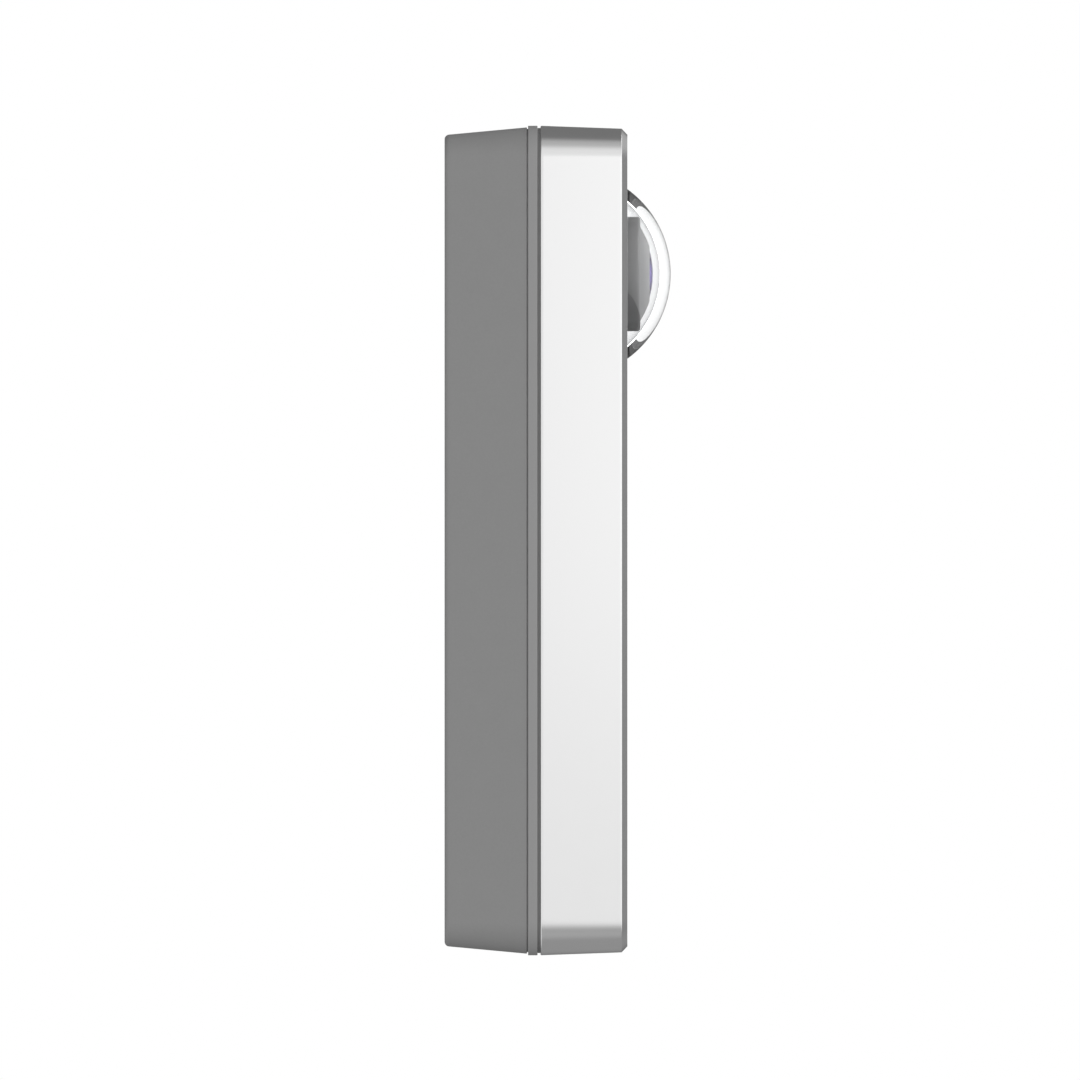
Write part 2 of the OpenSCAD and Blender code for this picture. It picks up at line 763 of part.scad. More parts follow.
module pir_lens() {
    color("white") place() at_pir() {
        disc(pir_r, face_in - lip_t, face);
        disc(pir_lip_r, face_in - lip_t, face_in);
    }
}
module pir_holder() {
    color("#e8e8e8") place() at_pir() ring(pir_lip_r, pir_lip_r - pir_wall, board_front, face_in - lip_t);
}
module pir_sensor() {
    color("silver") place() at_pir() {
        disc(4.6, board_front, board_front + 0.6);
        disc(4.1, board_front, board_front + 4.2);
    }
}
module light_pipe() {
    color("white") place() at_pir() translate([pipe_x, 0, 0]) {
        disc(pipe_r, board_front + 1.1, face);
        disc(pipe_r + 0.8, face_in - 0.8, face_in);
    }
}
module light_sensor() {
    color("dimgray") place() at_pir() translate([pipe_x, 0, 0]) block(2, 2, board_front, board_front + 0.8);
}

// ---- Call button ----

module button_bezel() {
    back = face_in - bezel_lip_t;
    color("lightgray") place() at_button() difference() {
        union() {
            disc(bezel_out_r, back, face);
            disc(bezel_lip_r, back, face_in);
        }
        disc(bezel_in_r, back - past, face + past);
    }
}
module button_light_ring() {
    back = button_board_front + ring_led_h + 0.5;
    lip_front = face_in - bezel_lip_t;
    color("white") place() at_button() difference() {
        union() {
            disc(light_out_r, back, face - light_recess);
            disc(light_out_r + 1.6, lip_front - 1.2, lip_front);
        }
        disc(light_in_r, back - past, face + past);
    }
}
module call_button() {
    color("silver") place() at_button() {
        disc(button_r, cap_back, face - button_recess);
        disc(2.6, stem_front, cap_back + 0.2);
    }
}
module button_boot() {
    color("dimgray") place() at_button()
        ring(light_in_r - fit, boot_in_r, cap_back - boot_gap - boot_t, cap_back - boot_gap);
}
module tact_switch() {
    color("#2a2a2a") place() at_button() difference() {
        block(switch_side, switch_side, button_board_front, switch_front);
        disc(stem_r + run, button_board_front + 0.4, switch_front + past);
    }
}
module switch_stem() {
    color("saddlebrown") place() at_button()
        disc(stem_r, button_board_front + 0.4 + button_travel + 0.3, stem_front - stem_gap);
}
module button_leds() {
    circle_r = (light_in_r + light_out_r) / 2;
    color("ivory") place() at_button() for (i = [0 : led_count - 1]) rotate(360 * i / led_count)
        translate([circle_r, 0, 0]) block(0.8, 1.6, button_board_front, button_board_front + ring_led_h);
}
module button_board() {
    color("darkgreen") place() at_button() difference() {
        block(2 * (button_post_x + 3), button_board_y, button_board_back, button_board_front);
        four(button_post_x, button_post_y)
            disc(screw_r + 0.15, button_board_back - past, button_board_front + past);
    }
}

// ---- Speaker and microphone ----

module speaker_mesh() {
    color("black") place() at_speaker() disc(speaker_r - foam_w - 0.1, face_in - mesh_t, face_in);
}
module speaker_gasket() {
    color("#333333") place() at_speaker() ring(speaker_r, speaker_r - foam_w, rim_front, face_in);
}
module speaker_frame() {
    color("#222226") place() at_speaker() difference() {
        union() {
            disc(speaker_r, rim_front - rim_t, rim_front);
            disc(basket_r, basket_back, rim_front - 0.2);
            block(2 * ear_x, 2 * ear_r, ear_back, ear_back + ear_t);
            for (side = [-1, 1]) translate([side * ear_x, 0, 0]) disc(ear_r, ear_back, ear_back + ear_t);
        }
        disc(basket_in_r, basket_back + basket_floor, rim_front + past);
        disc(yoke_r + fit, basket_back - past, rim_front);
        for (side = [-1, 1]) translate([side * ear_x, 0, 0])
            disc(screw_r + 0.15, ear_back - past, ear_back + ear_t + past);
    }
}
module speaker_surround() {
    roll = (basket_in_r - cone_r) / 2 - fit;
    mid = cone_r + fit + roll;
    color("#444444") place() at_speaker() translate([0, 0, coil_front + cone_rise + cone_t / 2])
        rotate_extrude() intersection() {
            translate([mid, 0]) difference() {
                circle(r = roll);
                circle(r = roll - surround_t);
            }
            translate([mid - roll, 0]) square([2 * roll, roll]);
        }
}
module speaker_cone() {
    neck = coil_in_r + coil_t;
    color("#181818") place() at_speaker() translate([0, 0, coil_front]) rotate_extrude()
        polygon([[0, 0], [neck, 0], [cone_r, cone_rise], [cone_r, cone_rise + cone_t], [neck, cone_t],
            [0, cone_t]]);
}
module voice_coil() {
    color("peru") place() at_speaker() ring(coil_in_r + coil_t, coil_in_r, coil_front - coil_len, coil_front);
}
module speaker_magnet() {
    back = yoke_back + yoke_floor;
    color("silver") place() at_speaker() disc(magnet_r, back, back + magnet_t);
}
module speaker_pole() {
    back = yoke_back + yoke_floor + magnet_t;
    color("gray") place() at_speaker() disc(pole_r, back, back + pole_t);
}
module speaker_yoke() {
    color("gray") place() at_speaker() difference() {
        disc(yoke_r, yoke_back, basket_back + basket_floor + 0.6);
        disc(yoke_in_r, yoke_back + yoke_floor, basket_back + basket_floor + past);
    }
}
module mic_boot() {
    back = board_front + mic_h;
    color("dimgray") place() translate([0, mic_y, 0]) difference() {
        union() {
            disc(mic_boot_r, back, face_in);
            disc(mic_collar_r, face_in - mic_collar_t, face_in);
        }
        disc(mic_r, back - past, face_in + past);
    }
}
module microphone() {
    color("silver") place() translate([0, mic_y, 0]) block(3.8, 3, board_front, board_front + mic_h);
}

// ---- Main board ----

module main_board() {
    color("darkgreen") place() difference() {
        translate([0, (board_low + board_high) / 2, 0])
            block(board_w, board_high - board_low, board_back, board_front);
        at_board_posts() disc(screw_r + 0.15, board_back - past, board_front + past);
    }
}
module shield_can() {
    color("silver") place() translate([-10, button_y - 2, 0]) block(24, 18, board_front, board_front + 2);
}
module board_chips() {
    color("#1a1a1a") place() for (chip = [[14, -6, 12], [14, 10, 8], [-16, -26, 10], [14, -24, 9]])
        translate([chip[0], button_y + chip[1], 0]) block(chip[2], chip[2], board_front, board_front + 1.2);
}
module capacitors() {
    color("#394a6b") place() for (x = [-22.5, -16.5, -10.5]) translate([x, pir_y - parts_drop, 0])
        disc(2.5, board_front, board_front + 7);
}
module relay() {
    color("#3060a0") place() translate([17.5, pir_y - parts_drop, 0]) block(15, 7.5, board_front, board_front + 8.5);
}
module terminal_block() {
    pitch = terminal_w / poles;
    color("seagreen") place() translate([0, terminal_y, 0]) difference() {
        block(terminal_w, terminal_side, board_back - terminal_h, board_back);
        for (i = [0 : poles - 1]) translate([(i + 0.5) * pitch - terminal_w / 2, 0, 0]) {
            translate([0, -1, 0]) disc(1.1, board_back - terminal_h - past, board_back - terminal_h + 1);
            translate([0, terminal_side / 2, board_back - terminal_h + 4]) rotate([90, 0, 0])
                translate([0, 0, -past]) cylinder(h = 5 + past, r = 1.1);
        }
    }
}
module network_jack() {
    color("#b8bcc0") place() translate([jack_x, jack_low, 0]) difference() {
        translate([0, jack_l / 2, 0]) block(jack_w, jack_l, board_back - jack_h, board_back);
        translate([0, jack_l / 2 + 7, 0]) block(11.8, jack_l, board_back - jack_h + 3, board_back - jack_h + 9.7);
    }
}
module wifi_antenna() {
    color("orange") place() translate([0, cam_y + 9, 0]) block(40, 8, cover_front, cover_front + 0.3);
}

rear_housing();
wall_seal();
cable_grommet();
security_screw();
back_cover();
perimeter_gasket();
front_shell();
unit_screws();
dome();
dome_gasket();
ir_window();
ir_board();
ir_leds();
dome_retainer();
camera_trim();
front_lens();
lens_barrel();
inner_lenses();
lens_holder();
filter_slide();
ir_cut_glass();
clear_glass();
filter_rotor();
filter_coil();
image_sensor();
camera_board();
camera_ribbon();
small_screws();
pir_lens();
pir_holder();
pir_sensor();
light_pipe();
light_sensor();
button_bezel();
button_light_ring();
call_button();
button_boot();
tact_switch();
switch_stem();
button_leds();
button_board();
speaker_mesh();
speaker_gasket();
speaker_frame();
speaker_surround();
speaker_cone();
voice_coil();
speaker_magnet();
speaker_pole();
speaker_yoke();
mic_boot();
microphone();
main_board();
shield_can();
board_chips();
capacitors();
relay();
terminal_block();
network_jack();
wifi_antenna();
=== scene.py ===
"""Looks of a surface-mounted video doorbell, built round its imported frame.

Shapes are worked out in millimetres as seen from the street: x to the right, y up and z out of the wall.
place() turns them into the frame's metres, where Z is up and the front faces -Y.
"""

import json
import math

import bmesh
import bpy
import numpy as np
from bpy.props import FloatProperty, FloatVectorProperty, IntProperty, PointerProperty
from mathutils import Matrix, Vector
from mathutils.geometry import delaunay_2d_cdt


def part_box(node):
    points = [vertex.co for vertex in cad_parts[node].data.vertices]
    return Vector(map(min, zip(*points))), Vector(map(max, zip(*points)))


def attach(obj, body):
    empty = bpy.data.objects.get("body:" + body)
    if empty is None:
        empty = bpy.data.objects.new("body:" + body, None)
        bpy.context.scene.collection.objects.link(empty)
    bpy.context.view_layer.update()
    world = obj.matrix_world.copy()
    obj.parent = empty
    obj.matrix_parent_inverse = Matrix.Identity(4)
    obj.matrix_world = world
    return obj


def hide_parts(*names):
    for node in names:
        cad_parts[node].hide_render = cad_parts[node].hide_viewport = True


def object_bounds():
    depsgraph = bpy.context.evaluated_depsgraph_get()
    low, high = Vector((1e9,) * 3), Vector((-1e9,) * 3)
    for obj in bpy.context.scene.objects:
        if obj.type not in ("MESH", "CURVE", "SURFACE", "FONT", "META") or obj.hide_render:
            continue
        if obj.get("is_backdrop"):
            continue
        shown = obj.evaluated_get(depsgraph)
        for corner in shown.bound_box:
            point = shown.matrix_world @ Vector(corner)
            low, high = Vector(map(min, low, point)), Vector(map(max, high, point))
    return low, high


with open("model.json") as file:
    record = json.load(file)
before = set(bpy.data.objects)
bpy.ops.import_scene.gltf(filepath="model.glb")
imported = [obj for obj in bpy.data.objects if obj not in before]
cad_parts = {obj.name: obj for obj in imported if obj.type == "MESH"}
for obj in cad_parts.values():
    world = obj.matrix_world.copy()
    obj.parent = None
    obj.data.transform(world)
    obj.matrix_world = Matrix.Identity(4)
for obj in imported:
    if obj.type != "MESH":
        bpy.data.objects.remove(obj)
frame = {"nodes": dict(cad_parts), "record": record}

bl_info = {
    "name": "Video doorbell",
    "version": (1, 0, 0),
    "blender": (4, 5, 0),
    "location": "3D View > Sidebar > Doorbell",
    "description": "Builds the visible pieces of a surface-mounted video doorbell",
    "category": "Object",
}

CORNER_STEPS = 20  # steps round each upright corner of the body
ROUND_STEPS = 6  # steps round each rounded edge
HOLD = 0.4  # millimetres from an arc's end to the extra point that keeps the side flat
FINE, MIDDLE, SMALL, TINY = 192, 96, 48, 28  # steps round pieces and holes, from the dome to the grille's holes
WELD = 2e-7  # metres within which two points become one
CREASE = 28  # degrees from which an edge is drawn sharp


def linear(code):
    """The linear colour of an sRGB hex code."""
    part = np.array([int(code[i : i + 2], 16) for i in (1, 3, 5)]) / 255
    return tuple(np.where(part <= 0.04045, part / 12.92, ((part + 0.055) / 1.055) ** 2.4).tolist())


def size(name, description, millimetres):
    """A length that a user can change, in metres."""
    return FloatProperty(name=name, description=description, default=millimetres / 1000, min=0,
                         unit="LENGTH", subtype="DISTANCE")


def colour(name, description, code):
    """A colour that a user can change."""
    return FloatVectorProperty(name=name, description=description, default=linear(code), size=3, min=0, max=1,
                               subtype="COLOR")


def span(node):
    """Lowest and highest corner of a CAD node in the drawing's millimetres."""
    low, high = (np.array(corner) * 1000 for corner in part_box(node))
    return np.array([low[0], low[2], -high[1]]), np.array([high[0], high[2], -low[1]])


def centre_of(node):
    """The middle of a node as seen from the street."""
    low, high = span(node)
    return ((low + high) / 2)[:2]


def radius_of(node):
    """Half the width of a round node."""
    low, high = span(node)
    return (high[0] - low[0]) / 2


# Half the body's width and height, and the levels and the middle that several pieces share
HALF_X, HALF_Y, FACE = span("front_shell")[1]
BOX_RIM = span("rear_housing")[1][2]
COVER_FRONT, SHELL_BACK = (corner[2] for corner in span("perimeter_gasket"))
TRIM_LEVELS = (FACE, span("camera_trim")[1][2])
BUTTON_CENTRE = tuple(centre_of("call_button"))


# ---- Sizes and colours that a user can change ----


class DoorbellBody(bpy.types.PropertyGroup):
    corner: size("Corner radius", "Radius of the body's four upright corners", 6.5)
    box_foot: size("Foot inset", "How far the wall box stands in at the wall", 1.747)
    box_rim: size("Rim inset", "How far the wall box stands in at its rim", 0.3)
    box_wall: size("Box wall", "Thickness of the wall box's sides", 2.2)
    box_floor: size("Box floor", "Thickness of the wall box's floor", 2.4)
    box_round: size("Box edge", "Radius of the wall box's rear edge", 0.9)
    seam: size("Seam", "Height of the shadow line behind the flange", 0.2)
    seam_depth: size("Seam depth", "Depth of the shadow line behind the flange", 0.6)
    shell_wall: size("Shell wall", "Thickness of the front shell's sides", 2.0)
    face_wall: size("Face", "Thickness of the front shell's face", 2.2)
    shell_lean: size("Shell lean", "How far the shell's side stands in where its chamfer starts", 0.55)
    chamfer_depth: size("Chamfer depth", "Depth of the chamfer round the face", 1.08)
    chamfer_width: size("Chamfer width", "Width of the chamfer round the face", 1.15)
    edge: size("Edge break", "Radius that takes the sharpness off the shell's edges", 0.24)


class DoorbellCamera(bpy.types.PropertyGroup):
    dome_radius: size("Dome radius", "Outer radius of the clear dome", 19.85)
    dome_wall: size("Dome wall", "Wall of the clear dome", 2.0)
    window_lip: size("Window lip", "How far the window's hidden lip reaches past its rim", 1.4)
    trim_radius: size("Trim radius", "Radius of the trim round the lens", 10.83)
    # The dark insert's two sizes set the painted shadow under the trim
    painted_shadow_reach: size("Insert reach", "Half the length of the dark insert under the trim", 13.6)
    painted_shadow_rise: size("Insert rise", "How far the dark insert rises from the face", 3.1)
    trim_edge: size("Trim edge", "Radius of the trim's edge", 0.5)
    trim_ledge: size("Trim ledge", "Width of the flat step round the trim's cap", 1.83)
    trim_gap: size("Trim gap", "Gap between the trim's cap and the dome", 1.17)
    lens_radius: size("Lens radius", "Radius of the front lens", 4.8)


class DoorbellFront(bpy.types.PropertyGroup):
    pir_radius: size("Motion lens", "Radius of the motion sensor's lens", 6.5)
    lenslet: size("Lenslet", "Distance between the motion lens's small lenses", 2.55)
    pipe_radius: size("Light pipe", "Radius of the light pipe", 1.2)
    cap_radius: size("Button", "Radius of the call button", 11.3)
    cap_dish: size("Button dish", "How far the call button is dished", 0.55)
    cap_edge: size("Button edge", "Radius of the call button's edge", 0.7)
    light_width: size("Light ring", "Width of the ring of light", 1.5)
    bezel_width: size("Bezel", "Width of the bezel round the button", 1.7)
    grille_radius: size("Grille hole", "Radius of each hole in the grille", 0.9)
    grille_pitch: size("Grille pitch", "Distance between holes in the grille", 3.4)
    grille_rings: IntProperty(name="Grille rings", description="Rings of holes round the grille's middle",
                              default=3, min=1, max=4)
    mic_radius: size("Microphone hole", "Radius of the microphone's hole", 0.75)


class DoorbellColours(bpy.types.PropertyGroup):
    wall_box: colour("Wall box", "Moulded plastic of the wall box", "#989898")
    cover: colour("Back cover", "Moulded plastic of the back cover", "#A2A2A2")
    shell: colour("Front shell", "Blasted aluminium of the front shell", "#F7F7F7")
    gasket: colour("Gaskets", "Rubber of the gaskets and the seal", "#868686")
    window: colour("Window", "Dark plastic of the infrared window", "#0B0A0D")
    trim: colour("Trim", "Moulded plastic round the lens", "#D0D0D0")
    button: colour("Call button", "Steel of the call button", "#D9DADC")
    bezel: colour("Bezel", "Steel of the bezel", "#E6E7E9")


def mm(group, name):
    """One of these sizes in millimetres."""
    return getattr(getattr(bpy.context.scene, "doorbell_" + group), name) * 1000


# ---- Shapes ----


def place(points):
    """Points of the drawing, in millimetres, as points of the frame, in metres: (x, y, z) goes to (x, -z, y)."""
    return np.stack([points[:, 0], -points[:, 2], points[:, 1]], 1) / 1000


def grid(points, close_rows=False, flat=False):
    """Quads over rows of points that go round: each joins two neighbours of a row to those of the next row."""
    rows, columns = points.shape[:2]
    a = np.arange(rows if close_rows else rows - 1)[:, None] * columns
    b = (a + columns) % (rows * columns)
    c = np.arange(columns)[None, :]
    d = (c + 1) % columns
    quads = np.stack([a + c, a + d, b + d, b + c], -1).reshape(-1, 4)
    return points.reshape(-1, 3), quads, flat


def rounded(corners, closed=False):
    """A profile through corners (x, y, radius) with each corner rounded. The arc starts and ends radius divided by
    the tangent of half the corner's angle away from it, and a point beside each end keeps the sides flat."""
    corners = [tuple(c) + (0,) * (3 - len(c)) for c in corners]
    count = len(corners)
    result = []
    for i, (x, y, radius) in enumerate(corners):
        here = np.array([x, y])
        ends = not closed and i in (0, count - 1)
        if radius == 0 or ends:
            result.append(here[None])
            continue
        before = np.array(corners[i - 1][:2]) - here
        after = np.array(corners[(i + 1) % count][:2]) - here
        reach_before, reach_after = np.linalg.norm(before), np.linalg.norm(after)
        u, v = before / reach_before, after / reach_after
        half = math.acos(np.clip(u @ v, -1, 1)) / 2
        reach = radius / math.tan(half)
        centre = here + (u + v) / np.linalg.norm(u + v) * radius / math.sin(half)
        start, stop = here + u * reach - centre, here + v * reach - centre
        side = np.sign(start[0] * stop[1] - start[1] * stop[0])
        turn = np.linspace(0, math.pi - 2 * half, ROUND_STEPS + 1)[:, None]
        arc = centre + np.cos(turn) * start + np.sin(turn) * side * np.array([-start[1], start[0]])
        hold_before = here + u * (reach + min(HOLD, (reach_before - reach) / 3))
        hold_after = here + v * (reach + min(HOLD, (reach_after - reach) / 3))
        result += [hold_before[None], arc, hold_after[None]]
    return np.concatenate(result)


def course(half_x, half_y, radius, marks=()):
    """A way round a rectangle with round corners: at each point the middle of its arc, the direction out of it and
    its shift along the side. A point beside each arc's end keeps the sides flat, and marks are extra points along
    the lower side."""
    steps = np.linspace(0, 90, CORNER_STEPS + 1)
    angle = np.concatenate([np.r_[0, steps, 90] + quarter for quarter in (0, 90, 180, 270)])
    shift = np.tile(np.r_[-HOLD, 0 * steps, HOLD], 4)
    sign = np.repeat([[1, 1], [-1, 1], [-1, -1], [1, -1]], len(steps) + 2, axis=0)
    middle = sign * [half_x - radius, half_y - radius]
    at = 3 * (len(steps) + 2)
    angle = np.insert(angle, at, [270] * len(marks))
    shift = np.insert(shift, at, [0] * len(marks))
    middle = np.insert(middle, at, [[x, radius - half_y] for x in marks], axis=0) if marks else middle
    angle = np.radians(angle)
    out = np.stack([np.cos(angle), np.sin(angle)], 1)
    along = np.stack([-out[:, 1], out[:, 0]], 1)
    return middle + shift[:, None] * along, out, radius


def carry(profile, way):
    """Carries a profile of (inset, level) points along a way: a point stands the corner's radius less its inset
    out from the middle of the arc."""
    middle, out, radius = way
    inset, level = np.asarray(profile, float)[:, :2].T
    flat = middle + (radius - inset)[:, None, None] * out
    return np.concatenate([flat, np.broadcast_to(level[:, None, None], flat.shape[:2] + (1,))], 2)


def turned(profile, centre, steps=FINE):
    """Turns a profile of (radius, level) points about an axis out of the wall: radius times the cosine and the
    sine of the angle, added to the centre."""
    angle = np.arange(steps) * 2 * math.pi / steps
    radius, level = np.asarray(profile, float)[:, :2].T
    x = centre[0] + radius[:, None] * np.cos(angle)
    y = centre[1] + radius[:, None] * np.sin(angle)
    return np.stack([x, y, np.broadcast_to(level[:, None], x.shape)], 2)


def inside(points, loop):
    """Which points lie in a closed loop: a line to the right of such a point crosses it an odd number of times."""
    a, b = loop, np.roll(loop, -1, 0)
    y = points[:, None, 1]
    crosses = (a[:, 1] > y) != (b[:, 1] > y)
    rise = np.where(a[:, 1] == b[:, 1], 1, b[:, 1] - a[:, 1])
    return (crosses & (points[:, None, 0] < a[:, 0] + (y - a[:, 1]) * (b[:, 0] - a[:, 0]) / rise)).sum(1) % 2 == 1


def panel(outer, holes, level):
    """A flat sheet at a level: triangles between a loop and the holes in it."""
    loops = [outer] + holes
    points = np.concatenate(loops)
    start = np.cumsum([0] + [len(loop) for loop in loops])
    edges = np.concatenate([np.stack([np.arange(a, b), np.roll(np.arange(a, b), -1)], 1)
                            for a, b in zip(start, start[1:])])
    flat, _, triangles = delaunay_2d_cdt([Vector(p) for p in points], edges.tolist(), [], 0, 1e-6)[:3]
    flat, triangles = np.array(flat), np.array(triangles)
    middle = flat[triangles].mean(1)
    keep = inside(middle, outer)
    for hole in holes:
        keep &= ~inside(middle, hole)
    return np.column_stack([flat, np.full(len(flat), float(level))]), triangles[keep], True


def bores(holes):
    """The walls of holes, each (centre, profile, steps) with a profile of (radius, level) points, and the loops
    that they leave in the sheets at their two ends."""
    rings = [turned(profile, centre, steps) for centre, profile, steps in holes]
    return [grid(r) for r in rings], [r[0, :, :2] for r in rings], [r[-1, :, :2] for r in rings]


def block(low, high):
    """The six sides of a block between two corners."""
    corners = np.array([[(low, high)[(n >> k) & 1][k] for k in range(3)] for n in range(8)], float)
    sides = np.array([[0, 2, 3, 1], [4, 5, 7, 6], [0, 1, 5, 4], [2, 6, 7, 3], [0, 4, 6, 2], [1, 3, 7, 5]])
    return corners, sides, True


def piece(name, surfaces, slot, body="housing", nodes=None):
    """Makes one closed mesh of some surfaces, welds them where they meet, and puts it in its place in the frame."""
    points, faces, smooth, start = [], [], [], 0
    for vertices, polygons, flat in surfaces:
        points.append(vertices)
        faces += (polygons + start).tolist()
        smooth += [not flat] * len(polygons)
        start += len(vertices)
    mesh = bpy.data.meshes.new(name)
    mesh.from_pydata(place(np.concatenate(points)).tolist(), [], faces)
    mesh.polygons.foreach_set("use_smooth", smooth)
    work = bmesh.new()
    work.from_mesh(mesh)
    bmesh.ops.remove_doubles(work, verts=work.verts, dist=WELD)
    bmesh.ops.recalc_face_normals(work, faces=work.faces)
    work.to_mesh(mesh)
    work.free()
    mesh.set_sharp_from_angle(angle=math.radians(CREASE))
    obj = bpy.data.objects.new(name, mesh)
    bpy.context.scene.collection.objects.link(obj)
    mesh.materials.append(finish(slot))
    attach(obj, body)
    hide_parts(*([name.removesuffix("_look")] if nodes is None else nodes))
    return obj


# ---- Finishes ----


def add(tree, kind, inputs=None, **settings):
    """Adds a node with its settings. An input is linked if it is a socket, and otherwise set."""
    node = tree.nodes.new(kind)
    for key, value in settings.items():
        setattr(node, key, value)
    for key, value in (inputs or {}).items():
        if isinstance(value, bpy.types.NodeSocket):
            tree.links.new(value, node.inputs[key])
        else:
            node.inputs[key].default_value = value
    return node


def vary(tree, value, low, high):
    """A value from 0 to 1 as a number between two others."""
    return add(tree, "ShaderNodeMapRange", {"Value": value, "To Min": low, "To Max": high}).outputs["Result"]


def blend(tree, value, a, b):
    """A value from 0 to 1 as a colour between two others."""
    return add(tree, "ShaderNodeMix", {0: value, 6: (*a, 1), 7: (*b, 1)}, data_type="RGBA").outputs[2]


def dress(tree, shader, pattern, spec):
    """Gives a shader its colour, roughness and relief from a pattern of 0 to 1."""
    links = {
        "Base Color": blend(tree, pattern, tint(spec["dark"]), tint(spec["light"])),
        "Roughness": vary(tree, pattern, *spec["rough"]),
        "Normal": add(tree, "ShaderNodeBump", {"Height": pattern, "Strength": spec.get("relief", 0.3),
                                               "Distance": spec["depth"] / 1000}).outputs["Normal"],
    }
    for key, socket in links.items():
        tree.links.new(socket, shader.inputs[key])


def tint(value):
    """A colour by its hex code, or by its name and a factor among the colours that a user can change."""
    if isinstance(value, str):
        return linear(value)
    name, factor = value
    return tuple(min(c * factor, 1) for c in getattr(bpy.context.scene.doorbell_colours, name))


def grained(tree, where, spec):
    """An even grain: noise with one grain to each grain size, over a softer noise ten times as coarse."""
    fine = add(tree, "ShaderNodeTexNoise", {"Vector": where, "Scale": 1000 / spec["grain"], "Detail": 3.0})
    broad = add(tree, "ShaderNodeTexNoise", {"Vector": where, "Scale": 100 / spec["grain"], "Detail": 1.0})
    return add(tree, "ShaderNodeMix", {0: 0.3, 2: fine.outputs["Fac"], 3: broad.outputs["Fac"]}).outputs[0]


def grain_over_painted_shade(tree, where, spec):
    """An even grain over painted shade: a steady rise from dark at the nearer of two levels out of the wall to light
    at the farther.
    """
    near, far = spec["between"]
    level = add(tree, "ShaderNodeSeparateXYZ", {0: where}).outputs["Y"]
    rise = add(tree, "ShaderNodeMapRange", {"Value": level, "From Min": -near / 1000, "From Max": -far / 1000})
    return add(tree, "ShaderNodeMix", {0: 0.8, 2: grained(tree, where, spec), 3: rise.outputs["Result"]}).outputs[0]


def brushed(tree, where, spec):
    """Fine lines along Z: noise that is stretched a hundred times along them."""
    across, along = 1000 / spec["grain"], 10 / spec["grain"]
    lines = add(tree, "ShaderNodeMapping", {"Vector": where, "Scale": (across, across, along)})
    return add(tree, "ShaderNodeTexNoise", {"Vector": lines.outputs[0], "Scale": 1.0, "Detail": 2.0}).outputs["Fac"]


def spun(tree, where, spec):
    """Fine circles about an axis out of the wall: noise that depends on the distance to the axis alone."""
    x, y = spec["centre"]
    moved = add(tree, "ShaderNodeMapping", {"Vector": where, "Location": (-x / 1000, 0, -y / 1000),
                                            "Scale": (1, 0, 1)})
    reach = add(tree, "ShaderNodeVectorMath", {0: moved.outputs[0]}, operation="LENGTH")
    step = add(tree, "ShaderNodeMath", {0: reach.outputs["Value"], 1: 1000 / spec["grain"]}, operation="MULTIPLY")
    return add(tree, "ShaderNodeTexNoise", {"W": step.outputs[0], "Scale": 1.0, "Detail": 2.0},
               noise_dimensions="1D").outputs["Fac"]


def woven(tree, where, spec):
    """Threads that cross: two waves at right angles, and at each place the higher of them."""
    scale = 1000 / spec["grain"] / 2
    waves = [add(tree, "ShaderNodeTexWave", {"Vector": where, "Scale": scale, "Distortion": 0.0},
                 bands_direction=axis, wave_profile="SIN").outputs["Fac"] for axis in "XZ"]
    return add(tree, "ShaderNodeMath", {0: waves[0], 1: waves[1]}, operation="MAXIMUM").outputs[0]


def porous(tree, where, spec):
    """Open cells: the distance to the nearest of some scattered points."""
    return add(tree, "ShaderNodeTexVoronoi", {"Vector": where, "Scale": 1000 / spec["grain"]}).outputs["Distance"]


def tracked(tree, where, spec):
    """Copper tracks under varnish: square cells, each filled to its own height."""
    return add(tree, "ShaderNodeTexVoronoi", {"Vector": where, "Scale": 1000 / spec["grain"]},
               distance="CHEBYCHEV", feature="F2").outputs["Distance"]


